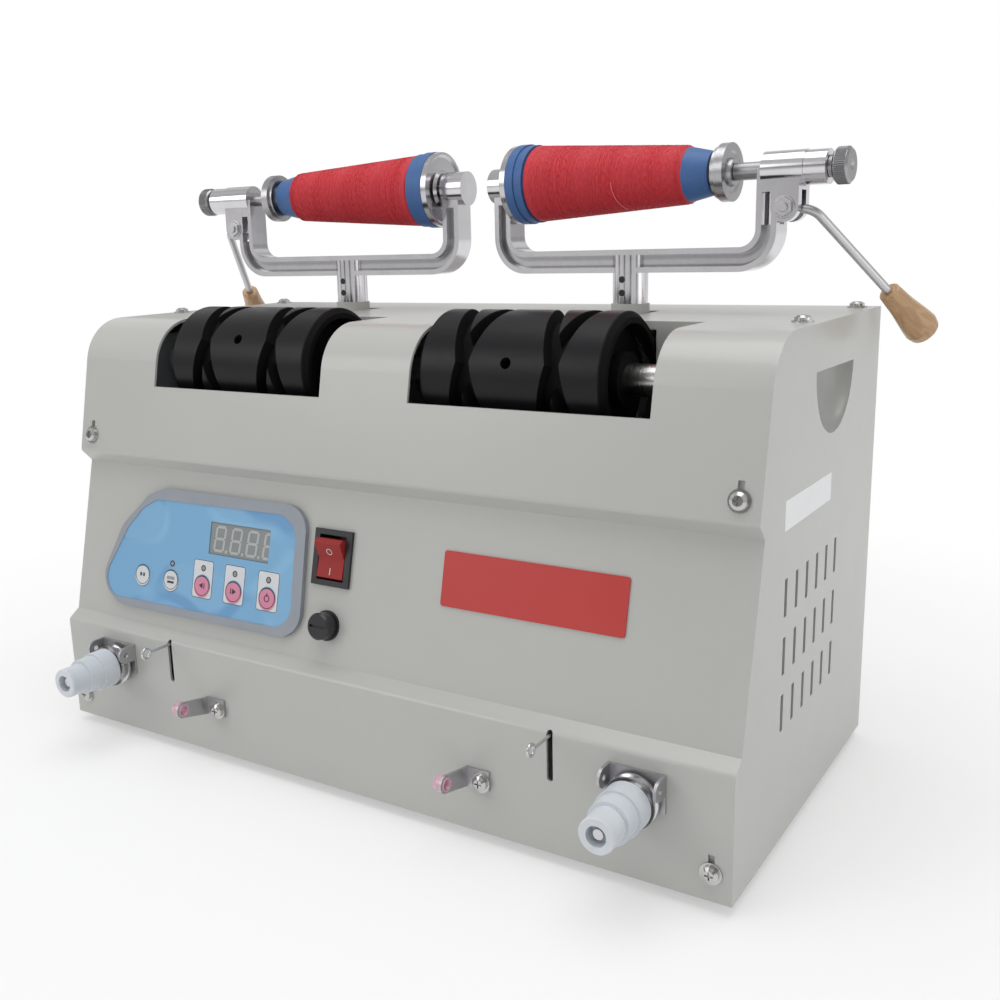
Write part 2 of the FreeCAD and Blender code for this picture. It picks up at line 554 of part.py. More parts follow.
def foot(i, x, y):
    cone = doc.addObject("Part::Cone", f"foot_cone_{i}")
    bind(cone, Radius1="foot_radius - foot_taper", Radius2="foot_radius", Height="foot_height")
    at(cone, x, y, "-foot_height")
    return cut(f"foot_{i}", cone,
               rod(f"foot_hole_{i}", "foot_hole_radius", "foot_hole_depth", x, y,
                   "-foot_height"))


node("rubber_feet", *[foot(i, x, y) for i, (x, y) in enumerate(FEET)])

# Side panels: the case's outline inside the wrapping sheets, with vents and a finger scoop
side_plate = prism(
    "side_plate", "YZ_Plane",
    [("front_y", 0), ("front_y", "nose_z"), ("ledge_y", "ledge_z"), ("step_y", "step_z"),
     ("lip_y", "lip_z"), ("crest_y", "crest_z"), ("back_y", "back_z"), ("back_y", 0)],
    "sheet_gauge", rounds=[((5,), "hood_round"), ((1, 4), "nose_round")])
at(side_plate, "(case_length - sheet_gauge) / 2")


def half_bowl(name, grow):
    """A quarter of an egg shape that hangs from the scoop's straight top edge."""
    bowl = doc.addObject("Part::Ellipsoid", name)
    bowl.Angle1 = -90
    bowl.Angle2 = 0
    bowl.Angle3 = 180
    bind(bowl, Radius1=f"scoop_drop + 2 * ({grow})", Radius2=f"scoop_half + ({grow})",
         Radius3=f"scoop_depth + ({grow})")
    return at(bowl, "case_length / 2", "scoop_y", f"scoop_z + ({grow})", (0, 0, 1), 90)


vents = [block(f"vent_{row}_{column}", "through", "vent_width", "vent_height",
               "case_length / 2", f"vent_y + {column} * vent_pitch",
               f"vent_z + {row} * vent_row_pitch")
         for row in range(int(value("vent_rows"))) for column in range(int(value("vent_count")))]
flat_side = cut("flat_side", side_plate,
                join("wrapping", hood_shell, front_shell, rear_sheet, base_sheet),
                half_bowl("scoop_opening", "0"), *vents)
scoop = cut("scoop", half_bowl("scoop_outside", "sheet_gauge"), half_bowl("scoop_inside", "0"))
side_right = node("side_panel_right", join("side_pressed", flat_side, scoop))
left_twin("side_panel_left", side_right)

# Control panel: bezel and overlay, whose corners the sheet lists


def corners_of(prefix, corners):
    return [(f"{prefix}_corner_{i}_x", f"{prefix}_corner_{i}_v") for i in range(len(corners))]


def panel_plate(name, points, outward, gauge, corner):
    """A plate parallel to the panel whose outer face stands outward of it."""
    plate = prism(name, "XZ_Plane", points, gauge, [(range(len(points)), corner)])
    return at(plate, 0, f"({gauge}) / 2 - ({outward})")


overlay_face = "bezel_rise - overlay_sink"
overlay_corners = corners_of("overlay", OVERLAY)
bezel_plate = panel_plate("bezel_plate", corners_of("bezel", BEZEL), "bezel_rise",
                          "bezel_rise", "bezel_round")
overlay_recess = panel_plate("overlay_recess", overlay_corners,
                             f"{overlay_face} + overlay_gauge", "2 * overlay_gauge",
                             "overlay_round")
overlay_plate = panel_plate("overlay_plate", overlay_corners, overlay_face, "overlay_gauge",
                            "overlay_round")
node("control_bezel", cut("bezel_holed", bezel_plate, overlay_recess,
                          panel_box("bezel_display_cut", *DISPLAY_WINDOW),
                          *stem_holes("bezel_stem")), **PANEL)
node("control_overlay", cut(
    "overlay_holed", overlay_plate, panel_box("overlay_display_cut", *DISPLAY_WINDOW),
    *[panel_rod(f"overlay_key_{i}", x, "key_v", "key_radius + key_gap")
      for i, x in enumerate(KEYS, 1)]), **PANEL)

# Display on its board, and the keys, which press towards the board
board = panel_box("board", "board_x", "board_v", "board_length", "board_height",
                  "-board_depth", "board_depth + board_gauge")
display = panel_box("display", "display_x", "display_v", "display_length - 2 * display_gap",
                    "display_height - 2 * display_gap", f"{overlay_face} - display_sink",
                    "board_depth")
pillars = [panel_rod(f"pillar_{i}", f"board_x + ({a}) * (board_length / 2 - pillar_inset)",
                     f"board_v + ({b}) * (board_height / 2 - pillar_inset)", "pillar_radius",
                     "-sheet_gauge", "board_depth")
           for i, (a, b) in enumerate(((-1, 1), (-1, -1), (1, 1), (1, -1)))]
node("display_board", join("display_joined", board, display, *pillars), **PANEL)
key_face = f"{overlay_face} + key_proud"
key_back = "overlay_gauge + overlay_sink - bezel_rise - key_travel - key_clear"
for i, x in enumerate(KEYS, 1):
    cap = panel_rod(f"key_cap_{i}", x, "key_v", "key_radius", key_face, key_back)
    stem = panel_rod(f"key_stem_{i}", x, "key_v", "key_stem_radius", key_face,
                     "board_depth - key_travel - stem_clear")
    node(f"key_{i}", join(f"key_joined_{i}", cap, stem), **PANEL)

# Rocker switch: housing with its pin, and the paddle tilted about the pin
housing = cut(
    "housing_hollow",
    join("housing_solid",
         panel_box("housing_bezel", "rocker_x", "rocker_v", "rocker_width", "rocker_length",
                   "rocker_rise", 0),
         panel_box("housing_body", "rocker_x", "rocker_v", "rocker_width - rocker_wall",
                   "rocker_length - rocker_wall", 0, "rocker_depth")),
    panel_box("housing_cut", "rocker_x", "rocker_v", "rocker_open_width",
              "rocker_open_length", "panel_out", "rocker_pocket"))
node("rocker_housing", join("housing_joined", housing,
                            rod("rocker_pin", "rocker_pin_radius", "rocker_open_width",
                                "rocker_x - rocker_open_width / 2", "rocker_pin_depth",
                                "rocker_v", "X")), **PANEL)
half_high = "(rocker_open_length / 2 - paddle_end_gap)"
paddle_body = prism("paddle_body", "YZ_Plane", [
    ("-paddle_shoulder", f"-1 * {half_high}"), ("paddle_back", f"paddle_draft - {half_high}"),
    ("paddle_back", f"{half_high} - paddle_draft"), ("-paddle_shoulder", half_high),
    ("-paddle_horn", f"{half_high} - paddle_horn_inset"), ("-paddle_waist", 0),
    ("-paddle_horn", f"paddle_horn_inset - {half_high}")],
    "rocker_open_width - 2 * paddle_gap")
paddle = cut("paddle", paddle_body,
             rod("paddle_bore", "rocker_pin_radius + running_gap", "2 * rocker_width",
                 "-rocker_width", 0, 0, "X"))
at(paddle, "rocker_x", "rocker_pin_depth", "rocker_v", (1, 0, 0), "rocker_tilt")
node("rocker_paddle", paddle, **PANEL)

# Fuse holder with its nut, and the blank label
fuse = turned("fuse", "Y", [
    ("-fuse_rise", 0), ("-fuse_rise", "fuse_radius - fuse_bevel"),
    ("-fuse_rise + fuse_bevel", "fuse_radius"), ("-fuse_flange", "fuse_radius"),
    ("-fuse_flange", "fuse_radius + fuse_bevel"), (0, "fuse_radius + fuse_bevel"),
    (0, "fuse_thread_radius"), ("fuse_depth", "fuse_thread_radius"), ("fuse_depth", 0)])
at(fuse, "fuse_x", 0, "fuse_v")
node("fuse_holder",
     cut("fuse_slotted", fuse,
         panel_box("fuse_slot", "fuse_x", "fuse_v", "fuse_slot_length", "fuse_slot_width",
                   "fuse_rise + fuse_slot_depth", "fuse_slot_depth - fuse_rise")),
     cut("fuse_nut", panel_rod("fuse_nut_disc", "fuse_x", "fuse_v", "fuse_radius",
                               "-sheet_gauge", "sheet_gauge + fuse_nut_gauge"),
         panel_rod("fuse_nut_bore", "fuse_x", "fuse_v", "fuse_thread_radius", 0,
                   "fuse_depth")), **PANEL)
label_low, label_high = "label_v - label_height / 2", "label_v + label_height / 2"
label_in, label_out = "label_x - label_length / 2", "label_x + label_length / 2"
node("label_plate", panel_plate("label", [(label_in, label_low), (label_out, label_low),
                                          (label_out, label_high), (label_in, label_high)],
                                "label_gauge", "label_gauge", "label_round"), **PANEL)

# Mains inlet on the rear panel
inlet_solid = join(
    "inlet_solid",
    block("inlet_front", "inlet_length + 2 * inlet_wing", "inlet_lip",
          "inlet_height + 2 * inlet_lip", "inlet_x", "back_y + inlet_lip / 2",
          "inlet_z - inlet_height / 2 - inlet_lip"),
    block("inlet_body", "inlet_length", "inlet_depth + inlet_lip", "inlet_height", "inlet_x",
          "back_y + (inlet_lip - inlet_depth) / 2", "inlet_z - inlet_height / 2"))
inlet_hollow = block("inlet_hollow", "inlet_length - 2 * inlet_wall", "inlet_depth",
                     "inlet_height - 2 * inlet_wall", "inlet_x",
                     "back_y + inlet_floor - inlet_depth / 2",
                     "inlet_z - inlet_height / 2 + inlet_wall")
blades = [block(f"inlet_blade_{i}", "blade_width", "blade_length", "blade_height",
                f"inlet_x + ({spread}) * blade_spread",
                "back_y - inlet_depth + blade_length / 2",
                f"inlet_z - ({drop}) * blade_drop - blade_height / 2")
          for i, (spread, drop) in enumerate(((-1, 1), (0, 0), (1, 1)))]
node("mains_inlet", join("inlet_joined", cut("inlet_hollowed", inlet_solid, inlet_hollow),
                         *blades))

# Drums with their crossing grooves, and their shaft
OFF_END = "360 * (groove_pitch - groove_reach) / groove_pitch"


def groove_section(body, place):
    low = "drum_radius - groove_depth"
    high = "drum_radius + groove_over"
    return outline(body, "XY_Plane", [
        (f"({place}) - groove_width / 2", high), (f"({place}) - groove_floor / 2", low),
        (f"({place}) + groove_floor / 2", low), (f"({place}) + groove_width / 2", high)])


def groove_helix(name, left_handed, angle):
    body = doc.addObject("PartDesign::Body", name)
    section = groove_section(body, "-groove_reach")
    helix = body.newObject("PartDesign::AdditiveHelix", f"{name}_helix")
    helix.Profile = section
    helix.ReferenceAxis = (section, ["H_Axis"])
    helix.Mode = "pitch-height-angle"
    helix.LeftHanded = left_handed
    bind(helix, Pitch="groove_pitch", Height="2 * groove_reach")
    body.Tip = helix
    return at(body, axis=(1, 0, 0), angle=angle)


def groove_end(name, place):
    """The stretch round the back where one helix runs into the other."""
    body = doc.addObject("PartDesign::Body", name)
    section = groove_section(body, place)
    arc = body.newObject("PartDesign::Revolution", f"{name}_arc")
    arc.Profile = section
    arc.ReferenceAxis = (section, ["H_Axis"])
    arc.Midplane = True
    bind(arc, Angle=f"2 * {OFF_END}")
    body.Tip = arc
    return body


def end_face(sign):
    """The recessed end face of the drum, from its bore to its rim."""
    return [(f"{sign} * (drum_length / 2 - {sink})", radius) for sink, radius in (
        ("hub_set_back", "shaft_radius"), ("hub_set_back", "drum_hub"),
        ("drum_recess", "drum_hub"), ("drum_recess", "drum_radius - drum_rim"),
        ("0", "drum_radius - drum_rim"), ("0", "drum_radius - drum_chamfer"),
        ("drum_chamfer", "drum_radius"))]


drum = cut("drum", turned("drum_blank", "X", end_face("-1") + end_face("1")[::-1]),
           groove_helix("groove_right_hand", False, OFF_END),
           groove_helix("groove_left_hand", True, f"-1 * {OFF_END}"),
           groove_end("groove_end_in", "-groove_reach"),
           groove_end("groove_end_out", "groove_reach"),
           rod("drum_screw_hole", "drum_screw_radius", "drum_radius", 0, "-drum_radius", 0, "Y"))
for label, turn in (("right", "drum_turn"), ("left", "drum_turn_left")):
    node(f"drum_{label}", drum, x=f"drum_{label} + drum_length / 2", y="drum_y", z="drum_z",
         axis=(-1, 0, 0), angle=turn)
node("drum_shaft", rod("shaft", "shaft_radius", "shaft_right - shaft_left", "shaft_left",
                       "drum_y", "drum_z", "X"))


def stand(label):
    x = f"stand_{label}"
    plate = block(f"plate_{label}", "stand_gauge", "stand_width", "stand_top - sheet_gauge",
                  x, "drum_y", "sheet_gauge")
    sole = block(f"sole_{label}", "stand_foot", "stand_width", "stand_foot_gauge",
                 f"{x} + stand_foot / 2", "drum_y", "sheet_gauge")
    bush = rod(f"bush_{label}", "bush_radius", "bush_length", f"{x} - bush_length / 2",
               "drum_y", "drum_z", "X")
    bore = rod(f"bore_{label}", "shaft_radius + running_gap", "2 * bush_length",
               f"{x} - bush_length", "drum_y", "drum_z", "X")
    return cut(f"bored_{label}", join(f"solid_{label}", plate, sole, bush), bore)


node("bearing_stands", *[stand(label) for label in ("left", "middle", "right")])

# Motor, pulleys of one size and belt


def pulley(name, bore_points):
    rim = "pulley_radius + pulley_rim"
    return turned(name, "X", bore_points + [
        ("pulley_width", rim), ("pulley_width - pulley_flange", rim),
        ("pulley_width - pulley_flange", "pulley_radius"), ("pulley_flange", "pulley_radius"),
        ("pulley_flange", rim), (0, rim)])


node("drum_pulley", pulley("drum_pulley_turned", [(0, "shaft_radius"),
                                                  ("pulley_width", "shaft_radius")]),
     x="pulley_x", y="drum_y", z="drum_z")
rotor_start = "motor_x + motor_length - motor_bore + motor_end_gap - pulley_x"
rotor_end = "pulley_width + motor_shaft_end"
node("motor_pulley", pulley("motor_pulley_turned", [
    (0, "motor_shaft_radius"), (rotor_start, "motor_shaft_radius"), (rotor_start, 0),
    (rotor_end, 0), (rotor_end, "motor_shaft_radius"),
    ("pulley_width", "motor_shaft_radius")]), x="pulley_x", y="motor_y", z="motor_z")
motor_middle = "motor_x + motor_length / 2"
motor_solid = join(
    "motor_solid",
    rod("motor_can", "motor_radius", "motor_length", "motor_x", "motor_y", "motor_z", "X"),
    block("motor_foot", "motor_foot_length", "2 * motor_foot_half",
          "motor_z - motor_radius / 2 - sheet_gauge", motor_middle, "motor_y", "sheet_gauge"),
    block("motor_terminals", "motor_box", "motor_box", "motor_radius + motor_box_rise",
          motor_middle, "motor_y", "motor_z"))
node("drive_motor", cut(
    "motor_bored", motor_solid,
    rod("motor_shaft_bore", "motor_shaft_radius + running_gap", "motor_bore + through",
        "motor_x + motor_length - motor_bore", "motor_y", "motor_z", "X")))


def belt_loop(name, radius, width):
    """Two round ends and the flat runs between them."""
    start = f"pulley_x + pulley_width / 2 - ({width}) / 2"
    back, down = "(motor_y - drum_y)", "(drum_z - motor_z)"
    reach = f"sqrt({back} * {back} + {down} * {down})"
    flat = block(f"{name}_flat", width, f"2 * ({radius})", reach, f"({width}) / 2", 0,
                 f"-1 * {reach}")
    runs = at(group(f"{name}_runs", flat), start, "drum_y", "drum_z", (1, 0, 0),
              f"atan({back} / {down})")
    return join(name, rod(f"{name}_top", radius, width, start, "drum_y", "drum_z", "X"),
                rod(f"{name}_low", radius, width, start, "motor_y", "motor_z", "X"), runs)


node("drive_belt", cut(
    "belt_cut", belt_loop("belt_outside", "pulley_radius + belt_gap + belt_gauge", "belt_width"),
    belt_loop("belt_inside", "pulley_radius + belt_gap", "2 * belt_width")))

# Cradle pivots under the top sheet and the carrier blocks that come up through the slots
ear_height = f"{hood_top('pivot_y')} - sheet_gauge / 2 - pivot_z + ear_drop"
bracket = cut(
    "pivot_bracket",
    join("pivot_solid",
         *[block(f"pivot_ear_{label}", "ear_wide", "ear_long", ear_height,
                 f"cradle_x + {side} * (ear_start + ear_wide / 2)", "pivot_y",
                 "pivot_z - ear_drop") for label, side in SIDES],
         rod("pivot_pin", "pin_radius", "2 * pin_end", "cradle_x - pin_end", "pivot_y",
             "pivot_z", "X")), hood_shell)
node("cradle_brackets", bracket, mirror("pivot_bracket_left", bracket))
carrier_block = prism(
    "carrier_block", "YZ_Plane",
    [("-carrier_front", "-carrier_drop"), ("carrier_back", "-carrier_drop"),
     ("carrier_back", "carrier_deck - pivot_z"), ("-carrier_front", "carrier_deck - pivot_z")],
    "2 * carrier_half", rounds=[(range(4), "carrier_round")])
at(carrier_block, "cradle_x", "pivot_y", "pivot_z")
carrier = node("cradle_carrier_right", cut(
    "carrier_bored",
    join("carrier_solid", carrier_block,
         rod("carrier_boss", "carrier_boss_radius", "carrier_top - pivot_z", "cradle_x",
             "cradle_y", "pivot_z"),
         rod("carrier_stud", "stud_radius", "stud_top - pivot_z - stud_foot", "cradle_x",
             "cradle_y", "pivot_z + stud_foot")),
    rod("carrier_bore", "pin_radius + running_gap", "4 * carrier_half",
        "cradle_x - 2 * carrier_half", "pivot_y", "pivot_z", "X")))

# Cradle frame, drawn along its own line with the post at the middle


def u_shape(name, inset, top, outer_round, inner_round):
    low = f"bar_z + {inset}"
    high = f"bar_z + bar_height - {inset}"
    return prism(name, "XZ_Plane", [
        (f"arm_in + {inset}", low), (f"arm_out - {inset}", low), (f"arm_out - {inset}", top),
        (f"arm_out - arm_width + {inset}", top), (f"arm_out - arm_width + {inset}", high),
        (f"arm_in + arm_width - {inset}", high), (f"arm_in + arm_width - {inset}", top),
        (f"arm_in + {inset}", top)], "frame_depth",
        rounds=[((0, 1), outer_round), ((4, 5), inner_round)])


frame_solid = u_shape("frame_solid", "0", "spindle_z", "frame_round", "frame_inner_round")
webs = [at(u_shape(f"web_{label}", "flange", "spindle_z - hub_radius - web_top_gap",
                   "frame_round - flange", "frame_inner_round + flange"),
           0, f"{side} * (frame_depth - web_sink)") for label, side in SIDES]
clevis_face = "(clevis_gap + clevis_gauge)"
barrel_start = "arm_out - arm_width + barrel_inset"
frame_parts = join(
    "frame_parts", cut("frame_webbed", frame_solid, *webs),
    rod("frame_post", "post_radius", "bar_z + bar_height - flange - carrier_top", 0, 0,
        "carrier_top"),
    rod("frame_hub", "hub_radius", "arm_in + arm_width - hub_end", "hub_end", 0, "spindle_z",
        "X"),
    rod("frame_barrel", "barrel_radius", f"barrel_end - ({barrel_start})", barrel_start, 0,
        "spindle_z", "X"),
    rod("frame_sleeve", "sleeve_radius", "sleeve_end - barrel_end", "barrel_end", 0,
        "spindle_z", "X"),
    rod("clevis_round", "clevis_radius", f"2 * {clevis_face}", "clevis_u",
        f"-1 * {clevis_face}", "clevis_z", "Y"),
    block("clevis_neck", "2 * clevis_radius", f"2 * {clevis_face}",
          "spindle_z - clevis_z - clevis_merge", "clevis_u", 0, "clevis_z"))
frame = node("cradle_frame_right", cut(
    "frame_bored", frame_parts,
    rod("post_bore", "stud_radius", "stud_top - carrier_top + end_gap", 0, 0, "carrier_top"),
    rod("hub_bore", "centre_pin_radius", "through", "hub_end - arm_width / 2", 0, "spindle_z",
        "X"),
    rod("barrel_bore", "spindle_radius + running_gap", "2 * through",
        f"{barrel_start} - arm_width / 2", 0, "spindle_z", "X"),
    rod("spring_chamber", "spring_bore", "spring_end - spring_start", "spring_start", 0,
        "spindle_z", "X"),
    block("clevis_slot", "4 * clevis_radius", "2 * clevis_gap",
          "2 * (clevis_radius + clevis_slot_over)", "clevis_u", 0,
          "clevis_z - clevis_radius - clevis_slot_over"),
    block("finger_slot", "finger_slot_length", "2 * clevis_gap",
          "spindle_z - clevis_z - finger_slot_start", "clevis_u + running_gap", 0,
          "clevis_z + finger_slot_start"),
    rod("clevis_bore", "bolt_radius", "through", "clevis_u", "-through / 2", "clevis_z", "Y"),
    *[rod(f"set_screw_hole_{i}", "set_screw_radius", "post_radius", 0, "-post_radius", z, "Y")
      for i, z in enumerate(("set_screw_low", "set_screw_high"))]), **CRADLE)


def set_screw(i, z):
    face = "-post_radius - set_screw_proud"
    return cut(f"set_screw_{i}",
               rod(f"set_screw_body_{i}", "set_screw_radius",
                   "post_radius - stud_radius + set_screw_proud", 0, face, z, "Y"),
               rod(f"set_screw_socket_{i}", "set_screw_radius / 2",
                   "set_screw_proud + set_screw_socket", 0, face, z, "Y"))


fasteners = node(
    "cradle_fasteners_right", set_screw(0, "set_screw_low"), set_screw(1, "set_screw_high"),
    join("clevis_bolt",
         rod("bolt_shank", "bolt_radius", f"2 * {clevis_face} + bolt_head_height", "clevis_u",
             f"-1 * {clevis_face}", "clevis_z", "Y"),
         rod("bolt_head", "bolt_head_radius", "bolt_head_height", "clevis_u",
             f"-1 * {clevis_face} - bolt_head_height", "clevis_z", "Y"),
         rod("bolt_nut", "bolt_head_radius", "bolt_head_height", "clevis_u", clevis_face,
             "clevis_z", "Y")),
    rod("hub_pin", "centre_pin_radius", "centre_pin_end - hub_end", "hub_end", 0, "spindle_z",
        "X"),
    cut("spring",
        rod("spring_outside", "spring_bore - spring_gap",
            "spring_end - collar_end - spring_play", "collar_end + spring_play", 0,
            "spindle_z", "X"),
        rod("spring_inside", "spring_bore - spring_gap - spring_wall", "spring_end",
            "collar_end", 0, "spindle_z", "X")), **CRADLE)

# Package on the cradle's line at the spindle's height: core, thread and the two centres
core = node("cone_core_right", turned("core_turned", "X", [
    ("core_start", "core_rim_radius - core_wall"), ("core_start", "core_rim_radius"),
    ("core_step", "core_rim_radius"), ("core_step", "core_band_radius"),
    ("thread_start", "core_band_radius"), ("thread_start", "core_big_radius"),
    ("thread_end", "core_small_radius"), ("core_end", "core_nose_radius"),
    ("core_end", "core_nose_radius - core_wall"),
    ("thread_end", "core_small_radius - core_wall"),
    ("thread_start", "core_big_radius - core_wall"),
    ("core_step", "core_rim_radius - core_wall")]), **ON_SPINDLE)
thread = node("thread_package_right", turned("thread_turned", "X", [
    ("thread_start", "core_big_radius"), ("thread_start", "thread_big_radius"),
    ("thread_start + thread_shoulder", "thread_big_radius"),
    ("thread_end - thread_shoulder", "thread_small_radius"),
    ("thread_end", "core_small_radius")]), **ON_SPINDLE)
pin_bore = "centre_pin_radius + running_gap"
big_plug = "core_rim_radius - core_wall"
big_centre = node("big_end_centre_right", turned("big_centre_turned", "X", [
    ("disc_back", pin_bore), ("disc_back", "hub_radius"),
    ("disc_back + disc_dish", "hub_radius + disc_dish"),
    ("disc_back + disc_dish", "disc_radius - disc_rim"),
    ("disc_back + disc_rim_back", "disc_radius - disc_rim_slope"),
    ("disc_back + disc_rim_back", "disc_radius"), ("core_start", "disc_radius"),
    ("core_start", big_plug), ("core_start + big_plug_length", big_plug),
    ("core_start + big_plug_nose", "2 * centre_pin_radius"),
    ("core_start + big_plug_nose", pin_bore)]), **ON_SPINDLE)
small_plug = "core_nose_radius - core_wall - plug_gap"
nose_bore = "cap_bore + running_gap"
small_centre = node("small_end_centre_right", turned("small_centre_turned", "X", [
    ("core_end - plug_depth", nose_bore), ("core_end - plug_depth", small_plug),
    ("cap_start", small_plug), ("cap_start", "cap_shoulder_radius"),
    ("cap_flange", "cap_shoulder_radius"), ("cap_flange", "cap_radius"),
    ("cap_end - cap_ring_step", "cap_radius"), ("cap_end - cap_ring_step", "cap_ring_radius"),
    ("cap_end - cap_ring_depth", "cap_ring_foot"), ("cap_end - cap_ring_depth", "cap_hub_foot"),
    ("cap_end", "cap_hub_radius"), ("cap_end", nose_bore)]), **ON_SPINDLE)
nose_start = "core_end - plug_depth + end_gap"
knob_face = "knob_radius - knob_bevel"
spindle = node("spindle_right", turned("spindle_turned", "X", [
    (nose_start, 0), (nose_start, "cap_bore"), ("cap_end + end_gap", "cap_bore"),
    ("cap_end + end_gap", "spindle_radius"), ("collar_start", "spindle_radius"),
    ("collar_start", "spring_bore - collar_gap"), ("collar_end", "spring_bore - collar_gap"),
    ("collar_end", "spindle_radius"), ("sleeve_end + end_gap", "spindle_radius"),
    ("sleeve_end + end_gap", "neck_radius"), ("knob_start", "neck_radius"),
    ("knob_start", knob_face), ("knob_start + knob_bevel", "knob_radius"),
    ("knob_end - knob_bevel", "knob_radius"), ("knob_end", knob_face),
    ("knob_end", "knob_dimple"), ("knob_end - knob_dimple_depth", 0)]), **ON_SPINDLE)

# Release lever: eye and finger on the clevis bolt, bent rod and wooden grip


def bent_rod(name, start, bend, end, bend_radius, radius):
    """A round rod of two straight runs joined by an arc."""
    into = (bend - start).normalize()
    out = (end - bend).normalize()
    tangent = bend_radius * (1 - into.dot(out)) / into.cross(out).Length
    first = bend - into * tangent
    last = bend + out * tangent
    towards = (out - into).normalize()
    centre = bend + towards * (bend_radius ** 2 + tangent ** 2) ** 0.5
    middle = centre - towards * bend_radius
    path = Part.Wire([Part.makeLine(start, first), Part.Arc(first, middle, last).toShape(),
                      Part.makeLine(last, end)])
    section = Part.Wire([Part.makeCircle(radius, start, into)])
    pipe = doc.addObject("Part::Feature", name)
    pipe.Shape = path.makePipeShell([section], True, False)
    return pipe


lever_pivot = V(value("clevis_u"), 0, value("clevis_z"))
rod_bend = V(value("rod_bend_u"), value("rod_bend_v"), value("rod_bend_z"))
rod_end = V(value("rod_end_u"), value("rod_end_v"), value("rod_end_z"))
grip_way = (rod_end - rod_bend).normalize()
rod_foot = lever_pivot + (rod_bend - lever_pivot).normalize() * value("rod_start")
lever_pipe = bent_rod("lever_pipe", rod_foot, rod_bend, rod_end + grip_way * value("rod_bore"),
                      value("rod_bend_radius"), value("rod_radius"))
eye_half = "(clevis_gap - lever_gap)"
lever = node("lever_rod_right", cut(
    "lever_bored",
    join("lever_solid", lever_pipe,
         rod("lever_eye", "lever_eye_radius", f"2 * {eye_half}", "clevis_u",
             f"-1 * {eye_half}", "clevis_z", "Y"),
         block("lever_finger", "2 * finger_half", "2 * finger_half",
               "finger_top - clevis_z - finger_foot", "clevis_u", 0,
               "clevis_z + finger_foot")),
    rod("lever_bore", "bolt_radius + running_gap", "through", "clevis_u", "-through / 2",
        "clevis_z", "Y")), **CRADLE)
grip_turned = turned("grip_turned", "Z", [
    (0, "rod_radius"), (0, "grip_neck_radius - grip_bevel"), ("grip_bevel", "grip_neck_radius"),
    ("grip_waist_at", "grip_waist_radius"), ("grip_swell_at", "grip_swell_radius"),
    ("grip_end_at", "grip_end_radius"),
    ("grip_length - 3 * grip_bevel", "grip_end_radius - grip_bevel"),
    ("grip_length", "grip_tip_radius"), ("grip_length", 0), ("rod_bore", 0),
    ("rod_bore", "rod_radius")])
grip_turned.Placement = FreeCAD.Placement(rod_end, FreeCAD.Rotation(V(0, 0, 1), grip_way))
grip = node("lever_handle_right", grip_turned, **CRADLE)

for name, source in (("cradle_carrier_left", carrier), ("cradle_frame_left", frame),
                     ("cradle_fasteners_left", fasteners), ("cone_core_left", core),
                     ("thread_package_left", thread), ("big_end_centre_left", big_centre),
                     ("small_end_centre_left", small_centre), ("spindle_left", spindle),
                     ("lever_rod_left", lever), ("lever_handle_left", grip)):
    left_twin(name, source)

# Thread tensioners on the lower front: strap with two legs, stud and spring, discs, cap


def tension_leg(name, x):
    tip_y = "front_y - strap_gauge - leg_reach"
    middle = "(strap_high + leg_low) / 2"
    solid = join(
        f"{name}_solid",
        block(f"{name}_flat", "strap_gauge", "leg_reach", "strap_high - leg_low", x,
              "front_y - strap_gauge - leg_reach / 2", "leg_low"),
        rod(f"{name}_round", "(strap_high - leg_low) / 2", "strap_gauge",
            f"({x}) - strap_gauge / 2", tip_y, middle, "X"))
    return cut(name, solid, rod(f"{name}_eyelet", "leg_eye_radius", "4 * strap_gauge",
                                f"({x}) - 2 * strap_gauge", tip_y, middle, "X"))


strap = join(
    "tension_strap",
    cut("strap_holed",
        block("strap_flat", "2 * strap_half", "strap_gauge", "strap_high - strap_low",
              "tension_x", "front_y - strap_gauge / 2", "strap_low"),
        wall_hole("strap_hole", "stud_rod_radius", "tension_x", "front_y", "tension_z")),
    tension_leg("leg_in", "tension_x - strap_half + strap_gauge / 2"),
    tension_leg("leg_out", "tension_x + strap_half - strap_gauge / 2"))
node("tension_brackets", strap, mirror("tension_strap_left", strap))
TENSION = dict(x="tension_x", y="front_y", z="tension_z")


def tension_disc(name, back, flare):
    """A thin disc on the stud, its rim flared."""
    front = f"{back} - disc_gauge"
    return at(turned(name, "Y", [
        (back, "stud_rod_radius"), (back, "tension_disc_flat"),
        (f"{back} + {flare}", "tension_disc_radius"),
        (f"{front} + {flare}", "tension_disc_radius"), (front, "tension_disc_flat"),
        (front, "stud_rod_radius")]), **TENSION)


stud = at(turned("tension_stud", "Y", [
    ("sheet_gauge + nut_height", 0), ("sheet_gauge + nut_height", "spacer_radius"),
    ("sheet_gauge", "spacer_radius"), ("sheet_gauge", "stud_rod_radius"),
    ("-strap_gauge", "stud_rod_radius"), ("-strap_gauge", "spacer_radius"),
    ("-disc_first", "spacer_radius"), ("-disc_first", "stud_rod_radius"),
    ("-stud_end", "stud_rod_radius"), ("-stud_end", 0)]), **TENSION)
coil_back = "-disc_first - 2 * disc_gauge"
coil = at(turned("tension_coil", "Y", [
    (coil_back, "coil_radius - coil_wall"), (coil_back, "coil_radius"),
    ("coil_gap - cap_chamber_end", "coil_radius"),
    ("coil_gap - cap_chamber_end", "coil_radius - coil_wall")]), **TENSION)
node("tension_studs", stud, coil, mirror("tension_stud_left", stud),
     mirror("tension_coil_left", coil))
discs = [tension_disc("tension_disc_back", "-disc_first", "disc_flare"),
         tension_disc("tension_disc_front", "-disc_first - disc_gauge", "-1 * disc_flare")]
node("tension_discs", *discs, *[mirror(f"{disc.Name}_left", disc) for disc in discs])
cap_hole = "stud_rod_radius + running_gap"
